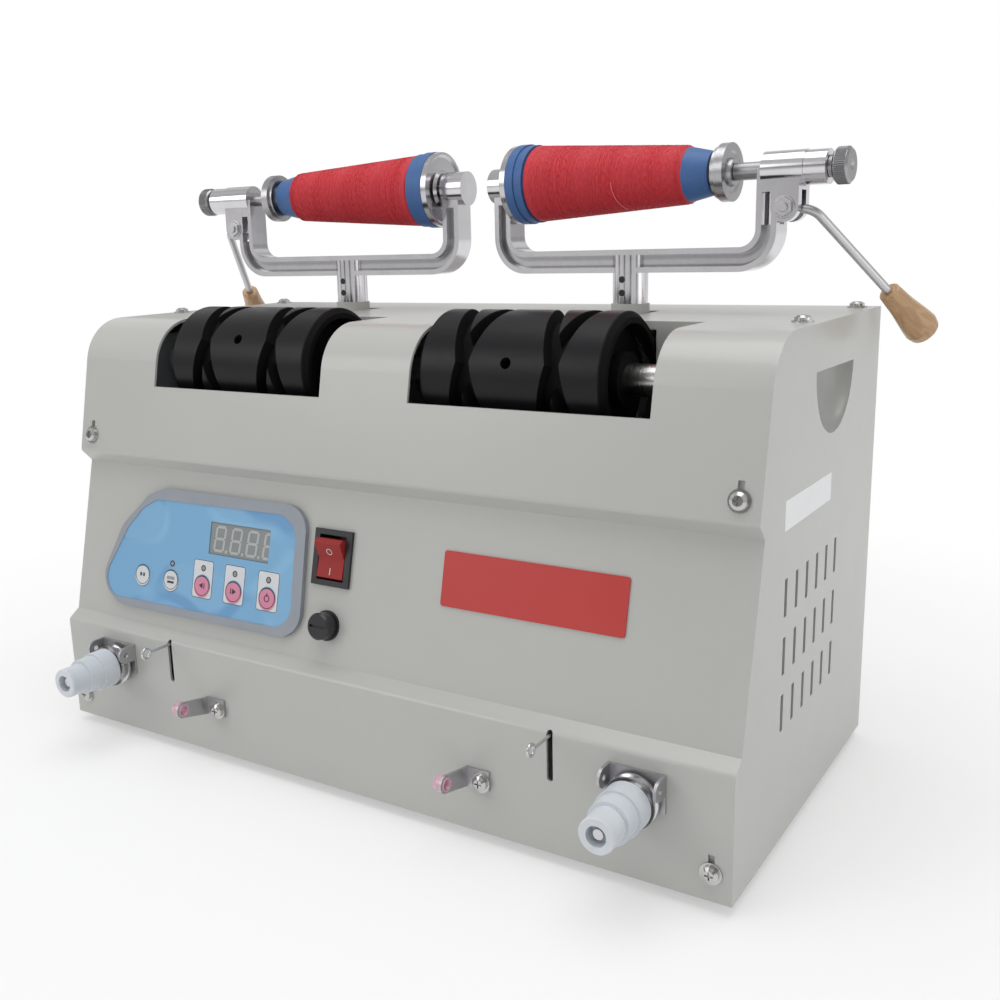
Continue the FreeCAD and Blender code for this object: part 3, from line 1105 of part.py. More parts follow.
cap_right = node("tension_cap_right", turned("tension_cap_turned", "Y", [
    ("-cap_back", "cap_chamber_radius"), ("-cap_back", "cap_radius_1 - cap_bevel"),
    ("-cap_back - cap_bevel", "cap_radius_1"), ("-cap_step_1", "cap_radius_1"),
    ("-cap_step_1", "cap_radius_2"), ("-cap_step_2", "cap_radius_2"),
    ("-cap_step_2", "cap_radius_3"), ("-cap_front + cap_bevel", "cap_radius_3"),
    ("-cap_front", "cap_radius_3 - cap_bevel"), ("-cap_front", "cap_recess_radius"),
    ("-cap_front + cap_recess", "cap_recess_radius"), ("-cap_front + cap_recess", cap_hole),
    ("-cap_chamber_end", cap_hole), ("-cap_chamber_end", "cap_chamber_radius")]), **TENSION)
left_twin("tension_cap_left", cap_right)

# Drop wires that fall when a thread breaks, and the switches that carry them
wire_ring = doc.addObject("Part::Torus", "wire_ring")
bind(wire_ring, Radius1="wire_eye_radius", Radius2="wire_radius")
at(wire_ring, "wire_x", "wire_eye_y", "wire_z", (0, 1, 0), 90)
wire_solid = join(
    "drop_wire_solid", wire_ring,
    rod("wire_stem", "wire_radius",
        "wire_pivot_y - wire_hub_radius + wire_hub_overlap - wire_eye_y - wire_eye_radius",
        "wire_x", "wire_eye_y + wire_eye_radius", "wire_z", "Y"),
    rod("wire_hub", "wire_hub_radius", "2 * wire_hub_half", "wire_x - wire_hub_half",
        "wire_pivot_y", "wire_z", "X"))
wire_right = node("drop_wire_right", cut(
    "drop_wire", wire_solid,
    rod("wire_bore", "wire_pin_radius + running_gap", "4 * wire_hub_half",
        "wire_x - 2 * wire_hub_half", "wire_pivot_y", "wire_z", "X")))
left_twin("drop_wire_left", wire_right)
switch = join(
    "wire_switch",
    cut("switch_slotted",
        block("switch_body", "2 * switch_half", "switch_depth", "switch_top - sheet_gauge",
              "wire_x", "wire_pivot_y", "sheet_gauge"),
        block("switch_slot", "2 * wire_hub_half + switch_play", "2 * switch_depth",
              "switch_top", "wire_x", "wire_pivot_y", "wire_z - switch_slot_drop")),
    rod("switch_pin", "wire_pin_radius", "2 * switch_half", "wire_x - switch_half",
        "wire_pivot_y", "wire_z", "X"))
node("drop_wire_switches", switch, mirror("wire_switch_left", switch))

# Thread guides beside the tensioners, both of one hand


def guide(label, side):
    x = f"{side} * guide_x - guide_offset"
    leg_x = f"{x} - guide_width / 2 + strap_gauge / 2"
    face = "front_y - strap_gauge"
    tip_y = "front_y - guide_reach"
    flat = cut(f"guide_flat_{label}",
               block(f"guide_flange_{label}", "guide_width", "strap_gauge", "guide_height", x,
                     "front_y - strap_gauge / 2", "guide_z"),
               wall_hole(f"guide_flange_hole_{label}", "screw_radius", f"{side} * guide_x",
                         "front_y", "guide_screw_z"))
    leg = prism(f"guide_leg_{label}", "YZ_Plane",
                [(face, "guide_z"), (face, "guide_z + guide_height"),
                 (tip_y, "guide_tip_z + guide_tip_radius"),
                 (tip_y, "guide_tip_z - guide_tip_radius")], "strap_gauge")
    at(leg, leg_x)
    tip = rod(f"guide_tip_{label}", "guide_tip_radius", "strap_gauge",
              f"{leg_x} - strap_gauge / 2", tip_y, "guide_tip_z", "X")
    hole = rod(f"guide_eye_hole_{label}", "eye_neck", "4 * strap_gauge",
               f"{leg_x} - 2 * strap_gauge", tip_y, "guide_tip_z", "X")
    back = "-strap_gauge / 2"
    front = "strap_gauge / 2 + eye_lip"
    eye = turned(f"guide_eye_{label}", "X", [
        (f"{back} - eye_bulge", "eye_bore + eye_lip"), (f"{back} - eye_bulge", "eye_neck"),
        (f"{back} - eye_bulge / 2", "eye_radius"), (back, "eye_radius"), (back, "eye_neck"),
        (front, "eye_neck"), (front, "eye_bore + eye_lip"), (0, "eye_bore"),
        (f"{back} - eye_bulge + eye_lip", "eye_bore")])
    at(eye, leg_x, tip_y, "guide_tip_z")
    return cut(f"guide_bracket_{label}", join(f"guide_joined_{label}", flat, leg, tip), hole), eye


guides = [guide(*side) for side in SIDES]
node("guide_brackets", *[bracket for bracket, eye in guides])
node("guide_eyes", *[eye for bracket, eye in guides])

doc.recompute()
for obj in doc.Objects:
    if {"Invalid", "Error"} & set(obj.State):
        raise RuntimeError(f"{obj.Name} failed: {obj.State}")
for obj in NODES:
    if obj.Shape.isNull() or not obj.Shape.isValid():
        raise RuntimeError(f"{obj.Name} has no valid shape")

os.makedirs("parts", exist_ok=True)
for obj in NODES:
    obj.Shape.exportStep(f"parts/{obj.Label}.step")
    print(obj.Label, len(obj.Shape.Solids), round(obj.Shape.Volume))
print(len(NODES), "nodes")
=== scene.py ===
"""Two-head cone winding machine: the finish of every surface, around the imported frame."""

import math
import random

import bmesh
import bpy
from bpy.props import FloatProperty, FloatVectorProperty, IntProperty, PointerProperty
from bpy.types import Operator, Panel, PropertyGroup
from mathutils import Matrix, Vector


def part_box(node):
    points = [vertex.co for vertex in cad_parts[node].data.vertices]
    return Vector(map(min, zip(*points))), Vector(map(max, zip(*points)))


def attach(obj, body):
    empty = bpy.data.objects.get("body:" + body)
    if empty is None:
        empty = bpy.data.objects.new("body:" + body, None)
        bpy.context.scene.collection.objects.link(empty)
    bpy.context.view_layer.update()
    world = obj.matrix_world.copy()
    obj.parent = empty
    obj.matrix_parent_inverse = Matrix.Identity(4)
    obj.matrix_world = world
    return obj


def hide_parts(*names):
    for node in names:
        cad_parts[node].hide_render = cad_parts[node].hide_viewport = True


bl_info = {
    "name": "Cone winding machine",
    "version": (1, 0, 0),
    "blender": (4, 5, 0),
    "location": "3D View > Sidebar > Winder",
    "description": "Finishes the surfaces of a two-head cone winding machine",
    "category": "Add Mesh",
}

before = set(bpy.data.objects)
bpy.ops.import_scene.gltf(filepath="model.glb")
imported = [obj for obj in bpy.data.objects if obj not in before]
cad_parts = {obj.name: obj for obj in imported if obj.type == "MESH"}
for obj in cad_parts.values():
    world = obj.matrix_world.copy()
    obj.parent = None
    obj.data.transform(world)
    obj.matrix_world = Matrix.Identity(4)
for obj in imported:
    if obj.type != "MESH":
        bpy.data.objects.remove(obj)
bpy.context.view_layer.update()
MM = 0.001
RIGHT = Vector((1, 0, 0))
FRONT = Vector((0, -1, 0))
UP = Vector((0, 0, 1))
# each winding head, and which way along X it looks out
SIDES = {"right": 1, "left": -1}
WHITE = (1, 1, 1, 1)


def tone(name, description, default):
    return FloatVectorProperty(name=name, description=description, default=default,
                               subtype="COLOR", size=3, min=0.0, max=1.0)


def length(name, description, default):
    return FloatProperty(name=name, description=description, default=default,
                         unit="LENGTH", precision=5)


def share(name, description, default):
    return FloatProperty(name=name, description=description, default=default,
                         subtype="FACTOR", min=0.0, max=1.0)


def angle(name, description, degrees):
    return FloatProperty(name=name, description=description, default=math.radians(degrees),
                         unit="ROTATION")


def amount(name, description, default):
    return FloatProperty(name=name, description=description, default=default, min=0.0)


def count(name, description, default):
    return IntProperty(name=name, description=description, default=default, min=1)


class CaseLook(PropertyGroup):
    """Enamelled sheets of the case"""

    enamel: tone("Enamel", "Warm pale grey of the sheets", (0.448, 0.452, 0.428))
    gloss: share("Roughness", "Roughness of the enamel", 0.34)
    label: tone("Label", "Red of the blank plate", (0.47, 0.04, 0.036))
    paper: tone("Paper", "White of the blank sticker", (0.78, 0.79, 0.8))
    low_flange: length("Low flange", "A height just over the low keyholes", 0.0325)
    high_flange: length("High flange", "A height just over the high keyholes", 0.2)
    flange_inset: length("Flange place", "From the case's end to a flange's middle", 0.0102)
    flange_drop: length("Flange drop", "From that height down to a flange's middle", 0.0065)
    flange_width: length("Flange width", "Width of a side panel's folded edge", 0.014)
    flange_height: length("Flange height", "Height of the part that shows", 0.018)
    flange_gauge: length("Flange thickness", "Thickness of the folded edge", 0.0008)
    flange_sink: length("Flange sink", "From the cover's face back to the flange", 0.0025)
    strip_y: length("Sticker middle", "Place of the sticker along the depth", 0.004)
    strip_z: length("Sticker height", "Height of the sticker's middle", 0.1745)
    strip_length: length("Sticker length", "Length of the sticker", 0.076)
    strip_width: length("Sticker width", "Width of the sticker", 0.0145)
    strip_gauge: length("Sticker thickness", "Thickness of the sticker", 0.00012)
    strip_round: length("Sticker corner", "Rounding of the sticker's corners", 0.0006)


class PanelLook(PropertyGroup):
    """Control panel, rocker switch and fuse"""

    bezel: tone("Bezel", "Grey of the raised bezel", (0.27, 0.29, 0.33))
    sky: tone("Overlay", "Light blue of the overlay", (0.165, 0.37, 0.585))
    deep: tone("Deep blue", "Darker swirls of the overlay", (0.105, 0.27, 0.5))
    pale: tone("Pale blue", "Lighter swirls of the overlay", (0.235, 0.46, 0.66))
    window: tone("Window", "Grey of the display window", (0.22, 0.235, 0.235))
    segment: tone("Segment", "Unlit segments of the digits", (0.38, 0.4, 0.395))
    digit_height: length("Digit height", "Height of a digit", 0.0142)
    digit_width: length("Digit width", "Width of a digit", 0.0072)
    digit_pitch: length("Digit pitch", "From one digit to the next", 0.013)
    first_digit: length("First digit", "From the window's left edge", 0.0079)
    stroke: length("Stroke", "Width of a segment", 0.0016)
    slant: angle("Slant", "Lean of the digits", 6.0)
    red: tone("Rocker", "Red of the rocker", (0.28, 0.012, 0.009))
    key_white: tone("Pale keys", "White of the two round keys", (0.6, 0.62, 0.64))
    key_pink: tone("Pink keys", "Pink of the three keys", (0.6, 0.22, 0.33))
    ink: tone("Ink", "Dark blue-black of the print", (0.02, 0.022, 0.035))
    lamp: tone("Lamp", "Grey-green of an unlit lamp", (0.3, 0.31, 0.28))
    film: length("Film", "Thickness of print", 0.00008)
    line: length("Line", "Width of a thin printed line", 0.00035)
    window_length: length("Window length", "Length of the display window", 0.0474)
    frame_width: length("Frame width", "Width of a pink key's white frame", 0.0156)
    frame_height: length("Frame height", "Height of a pink key's white frame", 0.0222)
    frame_round: length("Frame corner", "Rounding of the frame's corners", 0.0014)
    frame_rise: length("Frame rise", "From a key's middle up to its frame's", 0.0038)
    frame_lamp: length("Framed lamp", "From a pink key up to its lamp", 0.0104)
    lone_lamp: length("Lone lamp", "From a pale key up to its lamp", 0.0098)
    lamp_radius: length("Lamp radius", "Outer radius of a lamp's ring", 0.0019)
    key_hole: length("Key hole", "Radius of the hole in the print for a key", 0.0066)
    key_edge: length("Key edge", "Radius of the dark line on a key's rim", 0.0061)
    off_reach: length("Off mark", "From the rocker's middle up to its ring", 0.0038)
    off_radius: length("Off radius", "Outer radius of the rocker's ring", 0.002)
    off_width: length("Off width", "Width of the ring's line", 0.0004)
    on_reach: length("On mark", "From the rocker's middle up to its bar", -0.0072)
    on_width: length("On width", "Width of the rocker's bar", 0.0005)
    on_length: length("On length", "Length of the rocker's bar", 0.0038)


class DrumLook(PropertyGroup):
    """Grooved drums and their shaft"""

    black: tone("Black", "Moulded black of the drums", (0.0065, 0.0065, 0.0078))
    land: share("Land roughness", "Roughness of the polished lands", 0.36)
    land_edge: length("Land edge", "How far under its crest a land turns dull", 0.0008)
    land_top: length("Land top", "How far under its crest a land is all bright", 0.0001)
    groove: share("Groove roughness", "Roughness inside the grooves", 0.85)


class CradleLook(PropertyGroup):
    """Chrome cradles with their centres, spindles and levers"""

    chrome: tone("Chrome", "Colour of the plating", (0.68, 0.67, 0.69))
    # painted reflection: the lilac that the chrome picks up from the room, laid on in patches
    painted_lilac_reflection: tone("Tarnish", "Faint lilac of the older plating", (0.58, 0.5, 0.57))
    yaw: angle("Yaw", "Turn of a cradle about its post", 3.0)
    web_half: length("Web", "Half the depth that counts as the sunk web", 0.0037)
    web_edge: length("Web edge", "Width over which web turns into flange", 0.0003)
    frame_half: length("Frame half", "Half the cradle frame's length", 0.0881)
    frame_round: length("Frame corner", "Outer radius of the frame's corners", 0.021)
    bar_low: length("Bar", "Height of the frame's lower edge", 0.2829)
    # both lines are painted shade and reflection along the sunk web
    low_line: length("Outer line", "From the frame's outer edge in to a dark line", 0.0037)
    high_line: length("Inner line", "From the frame's outer edge in to a paler line", 0.008)
    knurl_depth: length("Knurl depth", "Height of the knob's ridges", 0.0003)
    knurl_inset: length("Knurl inset", "From the knob's ends in to its knurling", 0.0004)
    knurl_rim: length("Knob rim", "How far in from its radius counts as the rim", 0.0002)
    knurl_count: count("Knurl count", "Ridges round the knob", 56)
    low_screw: length("Low set screw", "Height of the post's lower set screw", 0.2719)
    high_screw: length("High set screw", "Height of the post's upper set screw", 0.2793)
    screw_edge: length("Set screw edge", "From a set screw's middle to its rim", 0.0015)
    screw_face: length("Set screw face", "Radius of a set screw's dark face", 0.0019)
    screw_rise: length("Set screw rise", "Height of that dark face", 0.00015)
    clevis_along: length("Clevis place", "From the post out to the clevis bolt", 0.092)
    clevis_height: length("Clevis height", "Height of the clevis bolt", 0.3152)
    washer_edge: length("Washer", "Radius of the clevis bolt's washer", 0.0058)
    nut_edge: length("Nut", "Radius of the nut over its corners", 0.005)
    nut_gauge: length("Nut height", "Height of the nut from the clevis", 0.0023)
    nut_clear: length("Nut clearance", "How far the nut covers the plain solid", 0.00005)
    washer_gauge: length("Washer height", "Height of the washer from the clevis", 0.0007)
    bolt_end: length("Bolt end", "Radius of the clevis bolt's end", 0.0025)
    bolt_rise: length("Bolt rise", "How far the bolt's end stands out of its nut", 0.0011)
    rim_round: length("Rim", "Chamfer of the washer, the nut and the bolt's end", 0.0003)
    wood: tone("Wood", "Light orange-brown of the grip", (0.52, 0.32, 0.155))
    wood_dark: tone("Grain", "Darker grain of the grip", (0.37, 0.2, 0.09))


class PackageLook(PropertyGroup):
    """Wound thread on its cone"""

    red: tone("Thread", "Red of the thread", (0.57, 0.027, 0.04))
    blue: tone("Core", "Blue of the cone", (0.042, 0.12, 0.31))
    thread: length("Thread", "Thickness of the thread", 0.00026)
    shoulder: length("Shoulder", "Rounding of the package's ends", 0.0022)
    passes: count("Passes", "Times the thread crosses the package", 60)
    turns: amount("Turns", "Turns in one crossing", 7.3)
    pale: tone("Pale strand", "Pale pink of the one loose strand", (0.85, 0.2, 0.2))
    loose_place: length("Loose place", "From the big end to the loose strand", 0.0565)
    loose_slant: length("Loose slant", "How far its lower end leads away", 0.0045)
    loose_angle: angle("Loose start", "Where it starts round the package", 188.0)
    loose_turn: angle("Loose turn", "How far it runs round the package", 62.0)
    loose_width: length("Loose width", "Thickness of the loose strand", 0.0006)
    seed: count("Seed", "Start of the random draws", 11)


class PathLook(PropertyGroup):
    """Tensioners, drop wires and guides"""

    nylon: tone("Caps", "Milky blue-white of the tension caps", (0.61, 0.645, 0.685))
    ceramic: tone("Eyes", "Pink of the ceramic eyes", (0.6, 0.33, 0.43))


class StageLook(PropertyGroup):
    """Floor, lights and camera"""

    camera: FloatVectorProperty(name="Camera", description="Place of the camera",
                                default=(0.3728, -0.51695, 0.2966), subtype="TRANSLATION",
                                unit="LENGTH")
    yaw: angle("Yaw", "Camera's turn from the depth axis", 32.03)
    pitch: angle("Pitch", "Camera's tilt", -12.83)
    roll: angle("Roll", "Camera's roll", 1.29)
    lens: amount("Lens", "Focal length on a 36 mm sensor", 39.39)
    floor: tone("Floor", "Colour of the floor", (0.88, 0.88, 0.88))
    ambient: amount("Ambient", "Strength of the even light", 0.62)
    top: amount("Top light", "Watts of the wide light above", 17.0)
    front: amount("Front light", "Watts of the light at the front left", 8.5)
    side: amount("Side light", "Watts of the low light at the right", 1.2)


def shade(colour, factor):
    return tuple(min(1.0, part * factor) for part in colour)


def by_maths(operation, swapped=False):
    """A method of a socket that hands its operands to one Math node."""
    def apply(self, *others):
        values = (*others, self) if swapped else (self, *others)
        return self.graph.maths(operation, *values)
    return apply


class Socket:
    """A shader socket that Python's operators can work on."""

    __add__ = by_maths("ADD")
    __radd__ = by_maths("ADD", swapped=True)
    __sub__ = by_maths("SUBTRACT")
    __rsub__ = by_maths("SUBTRACT", swapped=True)
    __mul__ = by_maths("MULTIPLY")
    __rmul__ = by_maths("MULTIPLY", swapped=True)
    __abs__ = by_maths("ABSOLUTE")
    sine = by_maths("SINE")
    root = by_maths("SQRT")
    angle_from = by_maths("ARCTAN2")
    larger = by_maths("MAXIMUM")
    smaller = by_maths("MINIMUM")

    def __init__(self, graph, link):
        self.graph = graph
        self.link = link

    def step(self, low, high):
        """0 below low, 1 above high and a smooth rise between them."""
        return self.graph.node("ShaderNodeMapRange", {"interpolation_type": "SMOOTHSTEP"},
                               {"Value": self, "From Min": low, "From Max": high})

    def parts(self):
        """The three numbers of a vector."""
        return [self.graph.node("ShaderNodeSeparateXYZ", {}, {0: self}, out=i)
                for i in range(3)]


class Graph:
    """The shader nodes of one material or world."""

    def __init__(self, tree):
        self.tree = tree
        tree.nodes.clear()

    def node(self, kind, settings, values, out=0):
        """Add a node with its settings first, then its values or links; give one output."""
        made = self.tree.nodes.new(kind)
        for setting, choice in settings.items():
            setattr(made, setting, choice)
        for key, given in values.items():
            if isinstance(given, Socket):
                self.tree.links.new(given.link, made.inputs[key])
            else:
                made.inputs[key].default_value = given
        return Socket(self, made.outputs[out]) if made.outputs else made

    def maths(self, operation, *values):
        return self.node("ShaderNodeMath", {"operation": operation}, dict(enumerate(values)))

    def mix(self, factor, first, second):
        """A colour between two colours."""
        ends = {6: first, 7: second}
        ends = {key: given if isinstance(given, Socket) else (*given, 1.0)
                for key, given in ends.items()}
        return self.node("ShaderNodeMix", {"data_type": "RGBA"}, {0: factor, **ends}, out=2)

    def tones(self, factor, colour, dark, bright):
        """A colour between a darker and a brighter shade of it."""
        return self.mix(factor, shade(colour, dark), shade(colour, bright))

    def place(self, centre=(0, 0, 0), turn=(0, 0, 0)):
        """Object coordinates, seen from a centre and turned."""
        where = self.node("ShaderNodeTexCoord", {}, {}, out=3)
        return self.node("ShaderNodeMapping", {"vector_type": "TEXTURE"},
                         {"Vector": where, "Location": centre, "Rotation": turn})

    def noise(self, where, scale, detail=2.0):
        """Noise, which three scales in place of one stretch along the axes."""
        if isinstance(scale, tuple):
            where = self.node("ShaderNodeVectorMath", {"operation": "MULTIPLY"},
                              {0: where, 1: scale})
            scale = 1.0
        return self.node("ShaderNodeTexNoise", {},
                         {"Vector": where, "Scale": scale, "Detail": detail})

    def bump(self, height, distance):
        return self.node("ShaderNodeBump", {}, {"Height": height, "Distance": distance})


class Finish(Graph):
    """A material under construction."""

    def __init__(self, name):
        self.material = bpy.data.materials.new(name)
        self.material.use_nodes = True
        super().__init__(self.material.node_tree)

    def surface(self, colour, **values):
        """End the material with one shader; a name's underscores stand for spaces."""
        named = {key.replace("_", " "): given for key, given in values.items()}
        paint = colour if isinstance(colour, Socket) else (*colour, 1.0)
        shader = self.node("ShaderNodeBsdfPrincipled", {}, {"Base Color": paint, **named})
        self.node("ShaderNodeOutputMaterial", {}, {"Surface": shader})
        return self.material


def enamel(name, colour, roughness):
    """Sprayed and baked paint: faint clouds, orange peel, and a soft gloss on top."""
    f = Finish(name)
    where = f.place()
    cloud = f.noise(where, 7.0, 3.0)
    handled = f.noise(where, 55.0, 5.0)
    peel = f.noise(where, 900.0, 1.0)
    paint = f.tones(cloud, colour, 0.95, 1.04)
    return f.surface(paint, Roughness=roughness + 0.1 * (handled - 0.5),
                     Coat_Weight=0.22, Coat_Roughness=0.16, Normal=f.bump(peel, 0.02 * MM))


def plated(name, colour, roughness=0.09, ripple=0.03 * MM):
    """Bright plating over ground metal, with soft ripples and a slight haze."""
    f = Finish(name)
    where = f.place()
    soft = f.noise(where, 160.0, 2.0)
    haze = f.noise(where, 70.0, 5.0)
    metal = f.tones(haze, colour, 0.86, 1.05)
    return f.surface(metal, Metallic=1.0, Roughness=roughness + 0.06 * haze,
                     Normal=f.bump(soft, ripple))


def machined(name, colour, centre, along, roughness=0.26):
    """Turned steel or alloy: fine rings across an axis."""
    f = Finish(name)
    turn = Vector(along).to_track_quat("X", "Z").to_euler()
    where = f.place(centre, turn)
    rings = f.noise(where, (5200.0, 60.0, 60.0), 2.0)
    stain = f.noise(where, 90.0, 5.0)
    metal = f.tones(stain, colour, 0.8, 1.0)
    return f.surface(metal, Metallic=1.0, Roughness=roughness + 0.18 * rings * stain,
                     Normal=f.bump(rings, 0.03 * MM))


def moulded(name, colour, roughness=0.42, grain=0.03 * MM, coat=0.0, soft=0.0):
    """Injection-moulded plastic, with a fine eroded grain."""
    f = Finish(name)
    where = f.place()
    fine = f.noise(where, 1700.0, 2.0)
    worn = f.noise(where, 75.0, 5.0)
    paint = f.tones(worn, colour, 0.9, 1.08)
    return f.surface(paint, Roughness=roughness + 0.14 * (worn - 0.5), Coat_Weight=coat,
                     Coat_Roughness=0.08, Subsurface_Weight=soft,
                     Subsurface_Radius=(0.004, 0.004, 0.004),
                     Normal=f.bump(fine, grain))


def printed(name, colour, roughness=0.4):
    """Ink or paper: matt, with slightly uneven cover."""
    f = Finish(name)
    cover = f.noise(f.place(), 500.0, 3.0)
    paint = f.tones(cover, colour, 0.93, 1.05)
    return f.surface(paint, Roughness=roughness + 0.1 * cover)


def broad_face(node):
    """The way a node's widest face looks, towards the front."""
    widest = max(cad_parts[node].data.polygons, key=lambda face: face.area)
    return widest.normal if widest.normal.y < 0 else -widest.normal


PANEL_OUT = broad_face("control_overlay").normalized()
PANEL_UP = PANEL_OUT.cross(RIGHT)
PANEL_TURN = Matrix((RIGHT, PANEL_UP, PANEL_OUT)).transposed().to_4x4()


def middle(node):
    low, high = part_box(node)
    return (low + high) / 2


def seat(node, start, out=PANEL_OUT, up=PANEL_UP):
    """The place where a line through start, along out, meets a node: Z looks out of it."""
    reach = 0.1
    hit, spot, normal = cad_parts[node].ray_cast(start + out * reach, -out)[:3]
    if not hit:
        raise RuntimeError(f"nothing of {node} lies behind {tuple(start)}")
    if normal.dot(out) < 0:
        normal = -normal
    across = up.cross(normal).normalized()
    turn = Matrix((across, normal.cross(across), normal)).transposed()
    return Matrix.Translation(spot) @ turn.to_4x4()


def outermost(node):
    """How far a node stands out along the panel's own direction."""
    return max(vert.co.dot(PANEL_OUT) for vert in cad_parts[node].data.vertices)


def lay_on(node, spot):
    """The place on a node's outermost flat face, in front of a spot: Z looks out of it."""
    rise = outermost(node) - spot.dot(PANEL_OUT)
    return Matrix.Translation(spot + PANEL_OUT * rise) @ PANEL_TURN


def dress(material, *nodes):
    """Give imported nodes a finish."""
    for node in nodes:
        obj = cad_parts[node]
        if not obj.material_slots:
            obj.data.materials.append(material)
        for held in obj.material_slots:
            held.material = material


def as_object(name, data):
    obj = bpy.data.objects.new(name, data)
    bpy.context.scene.collection.objects.link(obj)
    return obj


def solid(name, bm):
    """Turn a bmesh into an object."""
    mesh = bpy.data.meshes.new(name)
    bm.to_mesh(mesh)
    bm.free()
    return as_object(name, mesh)


def piece(name, bm, material, body, matrix=Matrix(), smooth=30.0, normals=True):
    """Turn a bmesh into a piece that rides on a body."""
    bmesh.ops.remove_doubles(bm, verts=bm.verts, dist=0.000002)
    if normals:
        bmesh.ops.recalc_face_normals(bm, faces=bm.faces)
    bm.transform(matrix)
    if matrix.to_3x3().determinant() < 0:
        bmesh.ops.reverse_faces(bm, faces=bm.faces)
    obj = solid(name, bm)
    obj.data.shade_smooth()
    obj.data.set_sharp_from_angle(angle=math.radians(smooth))
    obj.data.materials.append(material)
    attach(obj, body)
    return obj


def newer(bm, before):
    """The corners that were added since a set of them was taken."""
    return [vert for vert in bm.verts if vert not in before]


def move(bm, before, matrix):
    """Move, turn or scale what was added since before."""
    bmesh.ops.transform(bm, matrix=matrix, verts=newer(bm, before))


def raise_up(bm, before, centre, gauge):
    """Close the flat faces added since before into a plate of a thickness, at a place."""
    move(bm, before, Matrix.Translation((*centre, 0)))
    faces = list({face for vert in newer(bm, before) for face in vert.link_faces})
    raised = bmesh.ops.extrude_face_region(bm, geom=faces, use_keep_orig=True)
    corners = [part for part in raised["geom"] if isinstance(part, bmesh.types.BMVert)]
    bmesh.ops.translate(bm, verts=corners, vec=(0, 0, gauge))


def add_disc(bm, centre, radius, gauge, segments=40):
    before = set(bm.verts)
    bmesh.ops.create_circle(bm, cap_ends=True, radius=radius, segments=segments)
    raise_up(bm, before, centre, gauge)


def add_plate(bm, centre, size, gauge, round_by=0.0):
    """A flat plate, with its corners rounded."""
    before = set(bm.verts)
    bmesh.ops.create_grid(bm, x_segments=1, y_segments=1, size=0.5)
    move(bm, before, Matrix.Diagonal((*size, 1, 1)))
    if round_by:
        bmesh.ops.bevel(bm, geom=newer(bm, before), offset=round_by, affect="VERTICES",
                        segments=5, profile=0.5, material=-1)
    raise_up(bm, before, centre, gauge)


def add_ring(bm, centre, radius, width, gauge, segments=40):
    """A flat ring, spun from its own square section."""
    before = set(bm.verts)
    corners = [(radius - width, 0), (radius, 0), (radius, gauge), (radius - width, gauge)]
    section = [bm.verts.new((r, 0, z)) for r, z in corners]
    edges = [bm.edges.new((section[i], section[i - 1])) for i in range(len(section))]
    bmesh.ops.spin(bm, geom=section + edges, cent=(0, 0, 0), axis=UP, angle=math.tau,
                   steps=segments, use_merge=True)
    move(bm, before, Matrix.Translation((*centre, 0)))


def lathe(bm, profile, segments):
    """A closed turned piece about X, from pairs of place and radius that start and end
    on the axis."""
    points = [bm.verts.new((place, radius, 0)) for place, radius in profile]
    edges = [bm.edges.new(pair) for pair in zip(points, points[1:])]
    bmesh.ops.spin(bm, geom=points + edges, cent=(0, 0, 0), axis=RIGHT,
                   angle=math.tau, steps=segments, use_merge=True)


def cone_frame(look):
    """The right package's own frame: X runs along its axis, away from the post."""
    spot = middle("big_end_centre_right")
    return Matrix.Translation(spot) @ Matrix.Rotation(-look.yaw, 4, "Z")


def post_place(look, right):
    """How far the post stands from the right package's frame, along its axis."""
    return (middle("cradle_carrier_right").x - right.translation.x) / math.cos(look.yaw)


def to_side(matrix, side):
    """The same place on a side: the left machine head mirrors the right one."""
    return Matrix.Scale(SIDES[side], 4, RIGHT) @ matrix


def turned_points(node, matrix):
    """Places along a turned node's axis with their radii."""
    back = matrix.inverted()
    points = [back @ vert.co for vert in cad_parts[node].data.vertices]
    return sorted((p.x, math.hypot(p.y, p.z)) for p in points)


class WINDER_OT_case(Operator):
    """Paint the sheets of the case and lay the blank sticker on its right side"""

    bl_idname = "winder.case"
    bl_label = "Case"

    def execute(self, context):
        look = context.scene.winder_case
        paint = enamel("case_enamel", look.enamel, look.gloss)
        dress(paint, "hood_cover", "front_cover", "rear_panel", "base_plate",
              "side_panel_right", "side_panel_left")
        self.sticker(look)
        self.flanges(look, paint)
        return {"FINISHED"}

    def flanges(self, look, paint):
        """The side panels' folded edges, which show through the keyholes in front."""
        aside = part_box("front_cover")[1].x - look.flange_inset
        size = (look.flange_width, look.flange_height)
        sink = Matrix.Translation((0, 0, -look.flange_sink))
        bm = bmesh.new()
        for node, height in (("front_cover", look.low_flange), ("hood_cover", look.high_flange)):
            for way in SIDES.values():
                spot = seat(node, Vector((way * aside, 0, height)), FRONT, UP)
                before = set(bm.verts)
                add_plate(bm, (0, -look.flange_drop), size, look.flange_gauge)
                move(bm, before, spot @ sink)
        piece("side_flanges", bm, paint, "case")

    def sticker(self, look):
        start = Vector((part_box("side_panel_right")[1].x, look.strip_y, look.strip_z))
        spot = seat("side_panel_right", start, RIGHT, UP)
        bm = bmesh.new()
        add_plate(bm, (0, 0), (look.strip_length, look.strip_width), look.strip_gauge,
                  look.strip_round)
        piece("blank_sticker", bm, printed("sticker_paper", look.paper, 0.32), "case",
              spot)


class WINDER_OT_fasteners(Operator):
    """Finish the cover screws, the feet and the mains inlet"""

    bl_idname = "winder.fasteners"
    bl_label = "Fasteners and feet"

    def execute(self, context):
        dress(plated("screw_nickel", (0.58, 0.575, 0.56), 0.2), "cover_screws")
        dress(moulded("foot_rubber", (0.025, 0.025, 0.025), 0.75, grain=0.08 * MM), "rubber_feet")
        dress(moulded("inlet_black", (0.03, 0.03, 0.032), 0.4), "mains_inlet")
        return {"FINISHED"}


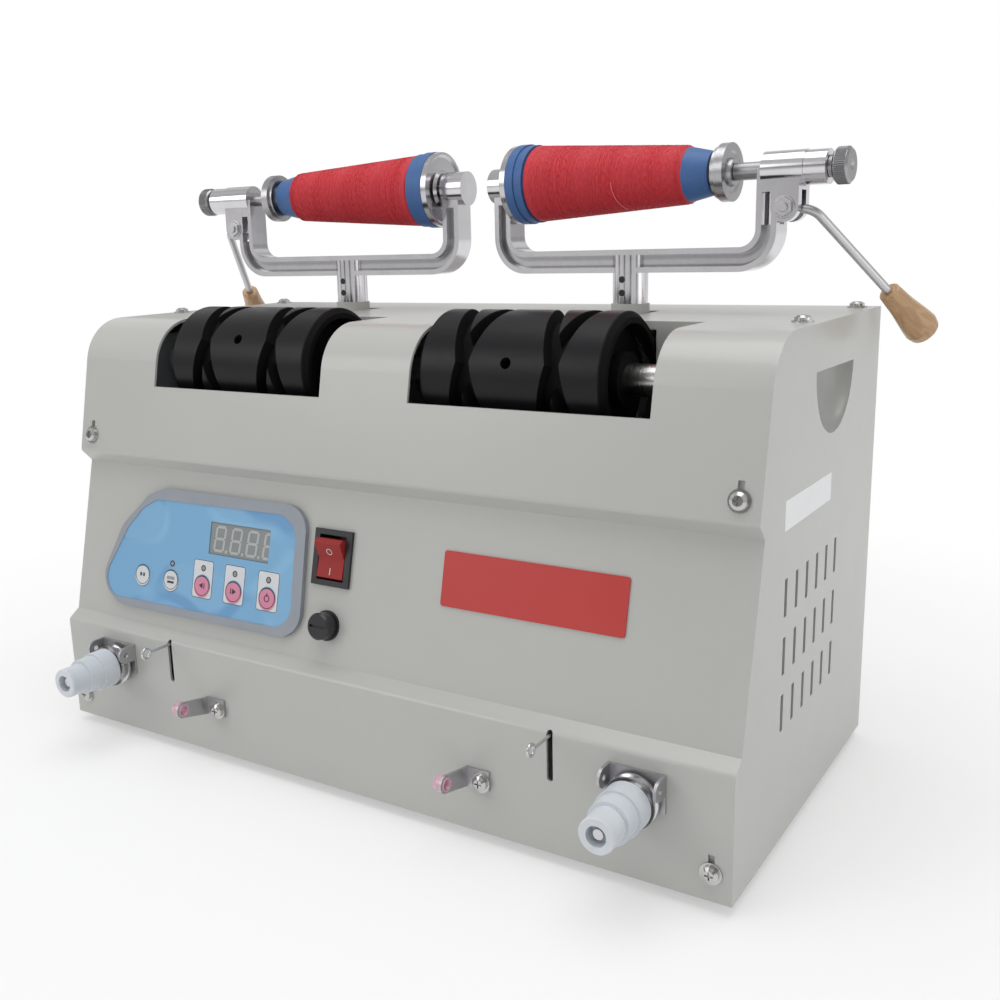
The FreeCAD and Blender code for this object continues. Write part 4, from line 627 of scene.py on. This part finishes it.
def overlay_print(look):
    """The overlay's film: light blue with soft swirls of two other blues."""
    f = Finish("overlay_film")
    where = f.place(middle("control_overlay"), PANEL_TURN.to_euler())
    swirl = f.noise(where, (16.0, 26.0, 1.0), 0.0)
    sweep = f.noise(where, (18.7, 32.3, 1.7), 0.0)
    paint = f.mix(swirl.step(0.53, 0.57) * 0.75, look.sky, look.deep)
    paint = f.mix(sweep.step(0.52, 0.6) * 0.55, paint, look.pale)
    film = f.noise(where, 320.0, 3.0)
    return f.surface(paint, Roughness=0.3 + 0.08 * film, Coat_Weight=0.35,
                     Coat_Roughness=0.1, Normal=f.bump(film, 0.02 * MM))


class WINDER_OT_control_panel(Operator):
    """Finish the bezel, the overlay with its printed frames, and the blank label plate"""

    bl_idname = "winder.control_panel"
    bl_label = "Control panel"

    def execute(self, context):
        look = context.scene.winder_panel
        dress(moulded("bezel_grey", look.bezel, 0.4, coat=0.15), "control_bezel")
        dress(overlay_print(look), "control_overlay")
        dress(enamel("label_red", context.scene.winder_case.label, 0.3), "label_plate")
        ink = printed("panel_ink", look.ink)
        white = printed("frame_white", look.key_white)
        lamp = moulded("lamp_lens", look.lamp, 0.2, coat=0.5)
        for number in range(1, 6):
            key = f"key_{number}"
            framed = number > 2
            if framed:
                self.frame(look, key, white, ink)
            if number > 1:
                self.lamp(look, key, look.frame_lamp if framed else look.lone_lamp, ink, lamp)
        return {"FINISHED"}

    def frame(self, look, key, white, ink):
        """A white field with rounded corners, its key's hole, and a thin dark border."""
        spot = lay_on("control_overlay", middle(key) + PANEL_UP * look.frame_rise)
        for name, edge, gauge, colour, slot in (
                ("frame", 0.0, look.film, white, "key_pale"),
                ("border", look.line, look.film / 2, ink, "bezel_black")):
            size = (look.frame_width + 2 * edge, look.frame_height + 2 * edge)
            bm = bmesh.new()
            add_plate(bm, (0, 0), size, gauge, look.frame_round + edge)
            cut_round(piece(f"{name}_{key}", bm, colour, "case", spot), middle(key),
                      look.key_hole)

    def lamp(self, look, key, rise, ink, lens):
        """A small lamp in its printed ring above a key."""
        spot = lay_on("control_overlay", middle(key) + PANEL_UP * rise)
        film = 2 * look.film
        bm = bmesh.new()
        add_ring(bm, (0, 0), look.lamp_radius, look.line * 2, film, 24)
        piece(f"lamp_ring_{key}", bm, ink, "case", spot)
        bm = bmesh.new()
        add_disc(bm, (0, 0), look.lamp_radius - look.line * 2.4, film, 24)
        piece(f"lamp_{key}", bm, lens, "case", spot)


def cut_round(obj, spot, radius):
    """Cut a round hole through a printed film, square to the panel."""
    bm = bmesh.new()
    bmesh.ops.create_cone(bm, cap_ends=True, segments=48, radius1=radius, radius2=radius,
                          depth=0.04)
    bm.transform(Matrix.Translation(spot) @ PANEL_TURN)
    cutter = solid("cutter", bm)
    cut = obj.modifiers.new("hole", "BOOLEAN")
    cut.operation = "DIFFERENCE"
    cut.object = cutter
    shaped = bpy.data.meshes.new_from_object(
        obj.evaluated_get(bpy.context.evaluated_depsgraph_get()))
    obj.modifiers.clear()
    obj.data = shaped
    bpy.data.meshes.remove(cutter.data)


class WINDER_OT_display(Operator):
    """Lay the unlit digits in the display window"""

    bl_idname = "winder.display"
    bl_label = "Display"

    def execute(self, context):
        look = context.scene.winder_panel
        dress(moulded("display_window", look.window, 0.22, coat=0.6), "display_board")
        spot = lay_on("display_board", window_middle())
        bm = bmesh.new()
        for number in range(4):
            self.digit(bm, look, look.first_digit + number * look.digit_pitch)
        bmesh.ops.bisect_plane(bm, geom=bm.verts[:] + bm.edges[:] + bm.faces[:],
                               plane_co=(look.window_length / 2 - look.line, 0, 0),
                               plane_no=(1, 0, 0), clear_outer=True)
        bmesh.ops.holes_fill(bm, edges=[edge for edge in bm.edges if edge.is_boundary])
        segment = moulded("segment_pale", look.segment, 0.3, coat=0.4)
        piece("digit_segments", bm, segment, "case", spot)
        return {"FINISHED"}

    def digit(self, bm, look, place):
        """Seven segments and a point, with their ends cut to a slant."""
        before = set(bm.verts)
        half, rise, gap = look.digit_width / 2, look.digit_height / 2, look.stroke * 0.12
        upright = rise - 2 * gap
        for height in (-rise, 0.0, rise):
            self.segment(bm, look, (0, height), 2 * half - 2 * gap, math.radians(90))
        for side in (-half, half):
            for height in (-rise / 2, rise / 2):
                self.segment(bm, look, (side, height), upright, 0.0)
        add_disc(bm, (half + 1.7 * look.stroke, -rise), look.stroke * 0.6, look.film, 16)
        lean = Matrix.Translation((place - look.window_length / 2, 0, 0))
        lean[0][1] = math.tan(look.slant)
        move(bm, before, lean)

    def segment(self, bm, look, centre, long, turn):
        """One long bar with pointed ends, upright before it is turned."""
        before = set(bm.verts)
        corner = look.stroke / math.sqrt(3)
        bmesh.ops.create_circle(bm, cap_ends=True, radius=corner, segments=6)
        for side in (-1, 1):
            half = [vert for vert in newer(bm, before) if vert.co.y * side > 0]
            bmesh.ops.translate(bm, verts=half, vec=(0, side * (long / 2 - corner), 0))
        move(bm, before, Matrix.Rotation(turn, 4, "Z"))
        raise_up(bm, before, centre, look.film)


def window_middle():
    """The middle of the display module's front face."""
    flat = 0.1 * MM
    level = outermost("display_board") - flat
    front = [vert.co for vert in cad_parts["display_board"].data.vertices
             if vert.co.dot(PANEL_OUT) > level]
    return sum(front, Vector()) / len(front)


class WINDER_OT_keys(Operator):
    """Finish the five keys and print their plain marks"""

    bl_idname = "winder.keys"
    bl_label = "Keys"

    def execute(self, context):
        look = context.scene.winder_panel
        dress(moulded("key_white", look.key_white, 0.34), "key_1", "key_2")
        dress(moulded("key_pink", look.key_pink, 0.34), "key_3", "key_4", "key_5")
        ink = printed("key_ink", look.ink)
        marks = (self.reset, self.zeros, self.back, self.onward, self.power)
        for number, draw in enumerate(marks, start=1):
            key = f"key_{number}"
            bm = bmesh.new()
            add_ring(bm, (0, 0), look.key_edge, look.line, look.film, 48)
            draw(bm, look.film)
            piece(f"mark_{key}", bm, ink, key, lay_on(key, middle(key)))
        return {"FINISHED"}

    def bar(self, bm, film, place, size, round_by=0.0):
        """A printed bar, its place and size in millimetres."""
        add_plate(bm, Vector(place) * MM, Vector(size) * MM, film, round_by * MM)

    def ring(self, bm, film, place, radius, width, segments):
        """A printed ring, its place and size in millimetres."""
        add_ring(bm, Vector(place) * MM, radius * MM, width * MM, film, segments)

    def reset(self, bm, film):
        """Two short bars side by side."""
        for place in (-1.3, 1.3):
            self.bar(bm, film, (place, 0), (1.5, 2.2), 0.3)

    def zeros(self, bm, film):
        """Three small rings in a row over a bar."""
        for place in (-2.2, 0.0, 2.2):
            self.ring(bm, film, (place, 1.0), 0.95, 0.4, 20)
        self.bar(bm, film, (0, -1.6), (5.6, 1.3), 0.3)

    def arrow(self, bm, film, way):
        """A bold arrow head with its bar."""
        reach, shift = 2.0 * MM, 0.3 * MM
        before = set(bm.verts)
        bmesh.ops.create_circle(bm, cap_ends=True, radius=reach, segments=3)
        move(bm, before, Matrix.Rotation(math.radians(-90 * way), 4, "Z"))
        raise_up(bm, before, (way * shift, 0), film)
        self.bar(bm, film, (-way * 1.9, 0), (0.7, 3.2))

    def back(self, bm, film):
        self.arrow(bm, film, -1)

    def onward(self, bm, film):
        self.arrow(bm, film, 1)

    def power(self, bm, film):
        """The ring with its bar that stands for on and off."""
        self.ring(bm, film, (0, -0.2), 2.1, 0.55, 32)
        self.bar(bm, film, (0, 1.9), (0.6, 2.2))


class WINDER_OT_switch(Operator):
    """Finish the rocker switch with its two marks, and the fuse holder"""

    bl_idname = "winder.switch"
    bl_label = "Rocker and fuse"

    def execute(self, context):
        look = context.scene.winder_panel
        dress(moulded("switch_black", (0.022, 0.022, 0.025), 0.36), "rocker_housing")
        dress(moulded("fuse_black", (0.016, 0.016, 0.019), 0.3), "fuse_holder")
        dress(moulded("rocker_red", look.red, 0.6), "rocker_paddle")
        white = printed("mark_white", look.key_white)
        ring = bmesh.new()
        add_ring(ring, (0, 0), look.off_radius, look.off_width, look.film, 36)
        bar = bmesh.new()
        add_plate(bar, (0, 0), (look.on_width, look.on_length), look.film)
        for name, bm, reach in (("off", ring, look.off_reach), ("on", bar, look.on_reach)):
            spot = seat("rocker_paddle", middle("rocker_paddle") + PANEL_UP * reach)
            piece(f"rocker_mark_{name}", bm, white, "rocker", spot)
        return {"FINISHED"}


class WINDER_OT_drums(Operator):
    """Finish the grooved drums, their shaft and the drive inside the case"""

    bl_idname = "winder.drums"
    bl_label = "Drums and drive"

    def execute(self, context):
        look = context.scene.winder_drums
        spot = middle("drum_shaft")
        for side in SIDES:
            dress(self.drum_finish(look, side, spot), f"drum_{side}")
        dress(machined("shaft_steel", (0.62, 0.61, 0.6), spot, RIGHT, 0.2), "drum_shaft")
        dress(machined("pulley_alloy", (0.6, 0.6, 0.61), spot, RIGHT, 0.3), "drum_pulley",
              "motor_pulley")
        dress(enamel("stand_paint", (0.25, 0.27, 0.28), 0.5), "bearing_stands",
              "drive_motor")
        dress(moulded("belt_rubber", (0.02, 0.02, 0.02), 0.7, grain=0.1 * MM), "drive_belt")
        return {"FINISHED"}

    def drum_finish(self, look, side, spot):
        """Black moulding: lands rubbed glossy by the thread, grooves dull, with the grooves'
        colour painted darker as shade.
        """
        f = Finish(f"drum_black_{side}")
        where = f.place(spot)
        y, z = where.parts()[1:]
        radius = (y * y + z * z).root()
        low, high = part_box(f"drum_{side}")
        outside = (high.z - low.z) / 2
        land = radius.step(outside - look.land_edge, outside - look.land_top)
        rings = f.noise(where, (3000.0, 40.0, 40.0), 2.0)
        facets = f.noise(where, (60.0, 160.0, 160.0), 1.0)
        dust = f.noise(where, 240.0, 5.0)
        # painted shade: away from the lands the black drops to a quarter, so the grooves read
        # dark
        paint = f.tones(land, look.black, 0.25, 1.1)
        paint = f.mix(dust.step(0.55, 0.8) * 0.2, paint, shade(look.black, 1.8))
        rough = look.groove + land * (look.land - look.groove) + 0.12 * (dust - 0.5)
        return f.surface(paint, Roughness=rough, Specular_IOR_Level=0.22,
                         Normal=f.bump(rings * 0.25 + facets * 0.4, 0.1 * MM))


class WINDER_OT_cradles(Operator):
    """Plate the cradles, their centres and spindles, and knurl the knobs"""

    bl_idname = "winder.cradles"
    bl_label = "Cradles"

    def execute(self, context):
        look = context.scene.winder_cradles
        case = context.scene.winder_case
        right = cone_frame(look)
        bright = plated("chrome_bright", look.chrome, 0.12)
        satin = plated("rod_satin", shade(look.chrome, 0.85), 0.3, ripple=0.01 * MM)
        dress(enamel("carrier_enamel", shade(case.enamel, 1.04), 0.4), "cradle_carrier_right",
              "cradle_carrier_left", "cradle_brackets")
        for side in SIDES:
            dress(self.frame_finish(look, side, right), f"cradle_frame_{side}")
            dress(bright, f"cradle_fasteners_{side}")
            dress(satin, f"lever_rod_{side}")
            axis = to_side(right, side).to_3x3() @ RIGHT
            spot = middle(f"small_end_centre_{side}")
            for name, bright_by, rough, node in (
                    ("centre_steel", 0.7, 0.24, "small_end_centre"),
                    ("disc_chrome", 0.92, 0.14, "big_end_centre"),
                    ("spindle_steel", 0.58, 0.3, "spindle")):
                dress(machined(f"{name}_{side}", shade(look.chrome, bright_by), spot, axis,
                               rough), f"{node}_{side}")
            dress(self.wood(look, side), f"lever_handle_{side}")
            self.knurl(look, right, side)
            self.screw_ends(look, right, side, satin)
        return {"FINISHED"}

    def screw_ends(self, look, right, side, satin):
        """The dark sockets of the post's set screws; the clevis bolt's washer, nut and end."""
        turn = right.to_3x3()
        forward = turn @ FRONT
        post = right.translation + turn @ RIGHT * post_place(look, right)
        mirror = to_side(Matrix(), side)
        dark = moulded("socket_black", (0.012, 0.012, 0.013), 0.45)
        bm = bmesh.new()
        for height in (look.low_screw, look.high_screw):
            start = Vector((post.x, post.y, height + look.screw_edge))
            spot = seat("cradle_fasteners_right", start, forward, UP)
            spot.translation.z = height
            before = set(bm.verts)
            add_disc(bm, (0, 0), look.screw_face, look.screw_rise, 24)
            move(bm, before, spot)
        piece(f"socket_faces_{side}", bm, dark, f"cradle_{side}", mirror)
        reach = Vector((look.clevis_along, 0, look.clevis_height - right.translation.z))
        spot = seat("cradle_fasteners_right", post + turn @ reach, forward, UP)
        bm = bmesh.new()
        for radius, gauge, segments in ((look.washer_edge, look.washer_gauge, 48),
                                        (look.nut_edge, look.nut_gauge, 6),
                                        (look.bolt_end, look.nut_gauge + look.bolt_rise, 32)):
            before = set(bm.verts)
            add_disc(bm, (0, 0), radius, gauge, segments)
            rim = {edge for vert in newer(bm, before) for edge in vert.link_edges
                   if all(end.co.z > gauge / 2 for end in edge.verts)}
            bmesh.ops.bevel(bm, geom=list(rim), offset=look.rim_round, affect="EDGES",
                            segments=2, profile=0.5, material=-1)
        bm.transform(spot @ Matrix.Translation((0, 0, look.nut_clear - look.nut_gauge)))
        piece(f"bolt_end_{side}", bm, satin, f"cradle_{side}", mirror, smooth=12.0)

    def frame_finish(self, look, side, right):
        """Chrome over a casting: polished flanges; duller sunk webs whose colour is painted
        darker as shade, mottled by the casting.
        Dark lines where the webs meet the flanges are painted shade and reflection, and lilac
        patches are painted reflection."""
        matrix = to_side(right, side)
        f = Finish(f"cradle_chrome_{side}")
        where = f.place(matrix.translation, (0, 0, -look.yaw * SIDES[side]))
        x, y, z = where.parts()
        across = matrix.to_3x3() @ Vector((0, 1, 0))
        looking = f.node("ShaderNodeNewGeometry", {}, {}, out=1)
        facing = abs(f.node("ShaderNodeVectorMath", {"operation": "DOT_PRODUCT"},
                            {0: looking, 1: across}, out=1))
        sunk = 1 - abs(y).step(look.web_half - look.web_edge, look.web_half)
        web = sunk * facing.step(0.6, 0.8)
        corner = look.bar_low + look.frame_round - matrix.translation.z
        aside = abs(x * SIDES[side] - post_place(look, right))
        aside = (aside - (look.frame_half - look.frame_round)).larger(0.0)
        below = (corner - z).larger(0.0)
        inside = look.frame_round - (aside * aside + below * below).root()
        low_line = 1 - abs(inside - look.low_line).step(0.2 * MM, 1.1 * MM)
        high_line = 1 - abs(inside - look.high_line).step(0.3 * MM, 1.6 * MM)
        cast = f.noise(where, 420.0, 4.0)
        wave = f.noise(where, 110.0, 2.0)
        haze = f.noise(where, 60.0, 5.0)
        metal = f.tones(haze, look.chrome, 0.82, 1.1)
        # painted reflection: lilac patches of the room, reflected in the chrome
        metal = f.mix(haze.step(0.5, 0.75) * 0.3, metal, look.painted_lilac_reflection)
        # painted shade: the sunk web is darkened towards a dim chrome, mottled by the casting's
        # own noise
        metal = f.mix(web * (0.5 + 0.3 * cast), metal, shade(look.chrome, 0.55))
        # painted shade and reflection: dark lines along the web by the flanges' fillets
        painted_shade_lines = low_line * 0.6 + high_line * 0.3
        metal = f.mix(web * painted_shade_lines.smaller(1.0), metal, shade(look.chrome, 0.16))
        height = wave * 0.4 + web * cast * 0.2
        return f.surface(metal, Metallic=1.0, Roughness=0.13 + web * 0.14 + 0.06 * haze,
                         Normal=f.bump(height, 0.04 * MM))

    def wood(self, look, side):
        """Varnished wood: grain along the grip, with a few darker streaks."""
        f = Finish(f"grip_wood_{side}")
        low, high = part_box(f"lever_handle_{side}")
        along = Vector((SIDES[side] * (high.x - low.x), high.y - low.y, low.z - high.z))
        turn = along.to_track_quat("X", "Z").to_euler()
        where = f.place((low + high) / 2, turn)
        warp = f.noise(where, (30.0, 110.0, 110.0), 2.0)
        grain = f.noise(where, (70.0, 1500.0, 1500.0), 4.0)
        rings = (warp * 42.0).sine() * 0.5 + 0.5
        pores = f.noise(where, (260.0, 3600.0, 3600.0), 2.0)
        paint = f.mix(rings * 0.55 + grain * 0.35, look.wood, look.wood_dark)
        paint = f.mix(pores.step(0.62, 0.72) * 0.35, paint, shade(look.wood_dark, 0.5))
        return f.surface(paint, Roughness=0.42 + 0.1 * grain, Coat_Weight=0.55,
                         Coat_Roughness=0.14, Normal=f.bump(pores * -1.0, 0.06 * MM))

    def knurl(self, look, right, side):
        """The knob's straight knurling, as a toothed sleeve on its rim."""
        points = turned_points("spindle_right", right)
        rim = max(radius for place, radius in points)
        places = [place for place, radius in points if radius > rim - look.knurl_rim]
        start, end = min(places) + look.knurl_inset, max(places) - look.knurl_inset
        bm = bmesh.new()
        made = bmesh.ops.create_cone(bm, cap_ends=True, segments=2 * look.knurl_count,
                                     radius1=rim, radius2=rim, depth=end - start)
        ring = sorted(made["verts"], key=lambda v: (v.co.z, math.atan2(v.co.y, v.co.x)))
        grow = 1 + look.knurl_depth / rim
        bmesh.ops.scale(bm, verts=ring[::2], vec=(grow, grow, 1))
        turn = Matrix.Rotation(math.radians(90), 4, "Y")
        shift = Matrix.Translation(((start + end) / 2, 0, 0))
        steel = machined(f"knob_steel_{side}", shade(look.chrome, 0.36),
                         middle(f"spindle_{side}"), RIGHT, 0.42)
        piece(f"knob_knurl_{side}", bm, steel, f"spindle_{side}",
              to_side(right @ shift @ turn, side), smooth=15.0)


class Cone:
    """A wound package's outline, from its big end's place to its small end's."""

    def __init__(self, points):
        reach = 3.0 * MM
        self.start, self.end = points[0][0], points[-1][0]
        self.big = max(radius for place, radius in points if place < self.start + reach)
        self.small = max(radius for place, radius in points if place > self.end - reach)

    def radius(self, place):
        slope = (self.small - self.big) / (self.end - self.start)
        return self.big + slope * (place - self.start)

    def spot(self, place, rise, turned):
        """A point over the flank at a place along the axis, turned about it."""
        out = self.radius(place) + rise
        return Vector((place, out * math.cos(turned), out * math.sin(turned)))


class WINDER_OT_packages(Operator):
    """Wind the red packages on their blue cones"""

    bl_idname = "winder.packages"
    bl_label = "Packages"

    def execute(self, context):
        look = context.scene.winder_packages
        right = cone_frame(context.scene.winder_cradles)
        cone = Cone(turned_points("thread_package_right", right))
        wound = self.thread_finish(look)
        dress(self.core_finish(look), "cone_core_right", "cone_core_left")
        for side in SIDES:
            matrix = to_side(right, side)
            package = piece(f"package_{side}", self.wound_body(look, cone), wound,
                            f"cone_{side}", matrix)
            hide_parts(f"thread_package_{side}")
            self.thread(f"strands_{side}", self.strands(look, cone, side), look.thread,
                        matrix, wound, f"cone_{side}")
            if side == "right":
                pale = printed("thread_pale", look.pale, 0.5)
                self.thread("loose_strand", self.loose_strand(look, cone), look.loose_width,
                            matrix, pale, "cone_right")
        return {"FINISHED"}

    def wound_body(self, look, cone):
        """The lower layers, closed at both ends, with rounded shoulders."""
        bm = bmesh.new()
        round_by = look.shoulder
        big, small = cone.big - look.thread, cone.small - look.thread
        inner = 1.6 * round_by - look.thread
        arc = [math.radians(turn) for turn in range(0, 91, 18)]
        profile = [(cone.start, 0.0), (cone.start, big - inner)]
        profile += [(cone.start + round_by * (1 - math.cos(turn)),
                     big - round_by * (1 - math.sin(turn))) for turn in arc]
        flank = 24
        for i in range(1, flank):
            place = cone.start + round_by + (cone.end - cone.start - 2 * round_by) * i / flank
            profile.append((place, cone.radius(place) - look.thread))
        profile += [(cone.end - round_by * (1 - math.cos(turn)),
                     small - round_by * (1 - math.sin(turn))) for turn in reversed(arc)]
        profile += [(cone.end, small - inner), (cone.end, 0.0)]
        lathe(bm, profile, 96)
        return bm

    def strands(self, look, cone, side):
        """The outermost thread, which runs to and fro over the cone."""
        draw = random.Random(look.seed + list(SIDES).index(side))
        steps = 170
        mean = (cone.big + cone.small) / 2
        points = []
        turned = 0.0
        for crossing in range(look.passes):
            first = cone.start + look.shoulder * draw.uniform(0.55, 1.25)
            last = cone.end - look.shoulder * draw.uniform(0.55, 1.25)
            if crossing % 2:
                first, last = last, first
            turns = look.turns * draw.uniform(0.985, 1.015)
            layer = look.thread * (0.1 * (crossing % 3) - 0.85)
            for step in range(steps):
                place = first + (last - first) * step / steps
                points.append(cone.spot(place, layer, turned))
                turned += math.tau * turns / steps * mean / (cone.radius(place) + layer)
        return points

    def loose_strand(self, look, cone):
        """One pale strand that lies over the others and slants away at its lower end."""
        steps = 24
        points = []
        for step in range(steps + 1):
            part = step / steps
            place = cone.start + look.loose_place + look.loose_slant * part * part
            turned = look.loose_angle + look.loose_turn * part
            points.append(cone.spot(place, look.thread / 2, turned))
        return points

    def thread(self, name, points, thickness, matrix, material, body):
        """A thin square thread through points."""
        curve = bpy.data.curves.new("line", "CURVE")
        curve.dimensions = "3D"
        curve.bevel_depth = thickness / 2
        curve.bevel_resolution = 0
        spline = curve.splines.new("POLY")
        spline.points.add(len(points) - 1)
        for spot, point in zip(spline.points, points):
            spot.co = (*(matrix @ point), 1.0)
        mesh = bpy.data.meshes.new_from_object(bpy.data.objects.new("line", curve))
        bpy.data.curves.remove(curve)
        bm = bmesh.new()
        bm.from_mesh(mesh)
        bpy.data.meshes.remove(mesh)
        piece(name, bm, material, body, smooth=80.0, normals=False)

    def thread_finish(self, look):
        """Spun polyester: tiny slanting highlights and slow changes of shade."""
        f = Finish("thread_red")
        where = f.place()
        lay = f.noise(where, (2600.0, 420.0, 420.0), 2.0)
        cloud = f.noise(where, 60.0, 4.0)
        paint = f.tones(lay.step(0.35, 0.75), look.red, 0.92, 1.08)
        paint = f.mix(cloud.step(0.45, 0.75) * 0.25, paint, shade(look.red, 0.85))
        return f.surface(paint, Roughness=0.58 + 0.12 * lay, Sheen_Weight=0.12,
                         Sheen_Roughness=0.4, Sheen_Tint=(1.0, 0.5, 0.5, 1.0),
                         Normal=f.bump(lay, 0.04 * MM))

    def core_finish(self, look):
        """Blue moulding, scuffed where it is handled."""
        f = Finish("core_blue")
        where = f.place()
        scuff = f.noise(where, (900.0, 130.0, 130.0), 4.0)
        worn = f.noise(where, 120.0, 5.0)
        paint = f.tones(worn, look.blue, 0.85, 1.15)
        paint = f.mix(scuff.step(0.6, 0.8) * 0.25, paint, shade(look.blue, 1.9))
        return f.surface(paint, Roughness=0.42 + 0.16 * worn,
                         Normal=f.bump(scuff, 0.04 * MM))


class WINDER_OT_thread_path(Operator):
    """Finish the tensioners, drop wires and guides on the lower front"""

    bl_idname = "winder.thread_path"
    bl_label = "Thread path"

    def execute(self, context):
        look = context.scene.winder_path
        chrome = context.scene.winder_cradles.chrome
        dress(plated("bracket_nickel", shade(chrome, 0.78), 0.42), "tension_brackets",
              "guide_brackets")
        dress(plated("tension_chrome", shade(chrome, 0.95), 0.16), "tension_studs",
              "tension_discs", "drop_wire_right", "drop_wire_left")
        dress(moulded("cap_nylon", look.nylon, 0.4, coat=0.1, soft=0.35),
              "tension_cap_right", "tension_cap_left")
        dress(moulded("eye_ceramic", look.ceramic, 0.25, grain=0.01 * MM, coat=0.4),
              "guide_eyes")
        dress(moulded("detector_black", (0.03, 0.03, 0.03), 0.5), "drop_wire_switches")
        return {"FINISHED"}


class WINDER_OT_stage(Operator):
    """Set the floor, the soft lights and the camera"""

    bl_idname = "winder.stage"
    bl_label = "Stage"

    def execute(self, context):
        look = context.scene.winder_stage
        self.floor(look)
        self.sky(context.scene, look)
        self.light("top_softbox", (0.1, -0.1, 1.9), (0, 0, 0.1), 1.8, look.top)
        self.light("front_softbox", (-1.3, -1.7, 1.1), (0, 0, 0.15), 1.2, look.front)
        self.light("side_softbox", (1.3, 0.2, 0.2), (0.2, 0, 0.05), 0.8, look.side)
        self.camera(context.scene, look)
        return {"FINISHED"}

    def floor(self, look):
        """A white floor that keeps the shadow and fades into the white background."""
        bm = bmesh.new()
        bmesh.ops.create_circle(bm, cap_ends=True, radius=6.0, segments=96)
        floor = solid("floor", bm)
        f = Finish("floor_white")
        x, y = f.place().parts()[:2]
        far = (x * x + y * y).root().step(0.3, 0.7)
        matt = f.node("ShaderNodeBsdfDiffuse", {}, {"Color": (*look.floor, 1.0)})
        glow = f.node("ShaderNodeEmission", {}, {"Color": WHITE, "Strength": 1.0})
        shown = (0.4 + 0.6 * far) * self.seen(f)
        shader = f.node("ShaderNodeMixShader", {}, {0: shown, 1: matt, 2: glow})
        f.node("ShaderNodeOutputMaterial", {}, {"Surface": shader})
        floor.data.materials.append(f.material)

    def seen(self, graph):
        """1 for rays from the camera, from gloss and through glass."""
        camera, gloss, through = [
            graph.node("ShaderNodeLightPath", {}, {}, out=f"Is {kind} Ray")
            for kind in ("Camera", "Glossy", "Transmission")]
        return camera.larger(gloss).larger(through)

    def sky(self, scene, look):
        """Even light; seen directly it is white, and in gloss it is a room: darker to the
        front and above, with a few dark uprights and a dark rail."""
        world = bpy.data.worlds.new("studio")
        scene.world = world
        world.use_nodes = True
        g = Graph(world.node_tree)
        way = g.node("ShaderNodeTexCoord", {}, {}, out=0)
        x, y, z = way.parts()
        camera = g.node("ShaderNodeLightPath", {}, {}, out="Is Camera Ray")
        front = (y * -1.0).step(-0.2, 0.9)
        high = z.step(0.3, 0.85)
        around = x.angle_from(y)
        strips = abs((around * 4.5 + 2.0).sine()).step(0.86, 0.96)
        line = 1 - abs(z - 0.16).step(0.02, 0.06)
        low = 1 - abs(z + 0.3).step(0.05, 0.16)
        dark = (front * 0.3).larger(high * 0.35)
        dark = dark + 0.55 * (1 - high) * strips.larger(line.larger(low * 0.8))
        level = camera.larger(0.9 - dark)
        even, backdrop = [g.node("ShaderNodeBackground", {}, {"Color": WHITE, "Strength": power})
                          for power in (look.ambient, level)]
        shader = g.node("ShaderNodeMixShader", {}, {0: self.seen(g), 1: even, 2: backdrop})
        g.node("ShaderNodeOutputWorld", {}, {"Surface": shader})

    def light(self, name, place, target, size, power):
        """A round soft light that looks at a target."""
        lamp = bpy.data.lights.new(name, "AREA")
        lamp.shape = "DISK"
        lamp.size = size
        lamp.energy = power
        obj = as_object(name, lamp)
        obj.location = place
        way = Vector(target) - Vector(place)
        obj.rotation_euler = way.to_track_quat("-Z", "Y").to_euler()

    def camera(self, scene, look):
        data = bpy.data.cameras.new("camera")
        data.lens = look.lens
        data.sensor_width = 36.0
        data.clip_start = 0.01
        camera = as_object("camera", data)
        turn = (Matrix.Rotation(look.yaw, 4, "Z") @ Matrix.Rotation(look.pitch, 4, "X")
                @ Matrix.Rotation(look.roll, 4, "Y")
                @ Matrix.Rotation(math.radians(90), 4, "X"))
        camera.matrix_world = Matrix.Translation(look.camera) @ turn
        scene.camera = camera
        scene.view_settings.view_transform = "Standard"


class WINDER_PT_panel(Panel):
    """The steps that finish the machine"""

    bl_label = "Cone winder"
    bl_idname = "WINDER_PT_panel"
    bl_space_type = "VIEW_3D"
    bl_region_type = "UI"
    bl_category = "Winder"

    def draw(self, context):
        for step in STEPS:
            self.layout.operator(step.bl_idname)


LOOKS = {"winder_case": CaseLook, "winder_panel": PanelLook, "winder_drums": DrumLook,
         "winder_cradles": CradleLook, "winder_packages": PackageLook,
         "winder_path": PathLook, "winder_stage": StageLook}
STEPS = (WINDER_OT_case, WINDER_OT_fasteners, WINDER_OT_control_panel, WINDER_OT_display,
         WINDER_OT_keys, WINDER_OT_switch, WINDER_OT_drums, WINDER_OT_cradles,
         WINDER_OT_packages, WINDER_OT_thread_path, WINDER_OT_stage)
CLASSES = (*LOOKS.values(), *STEPS, WINDER_PT_panel)


def register():
    for each in CLASSES:
        bpy.utils.register_class(each)
    for name, kind in LOOKS.items():
        setattr(bpy.types.Scene, name, PointerProperty(type=kind))


def unregister():
    for name in LOOKS:
        delattr(bpy.types.Scene, name)
    for each in reversed(CLASSES):
        bpy.utils.unregister_class(each)


def main():
    register()
    for step in STEPS:
        getattr(bpy.ops.winder, step.bl_idname.split(".")[1])()


if __name__ == "__main__":
    main()
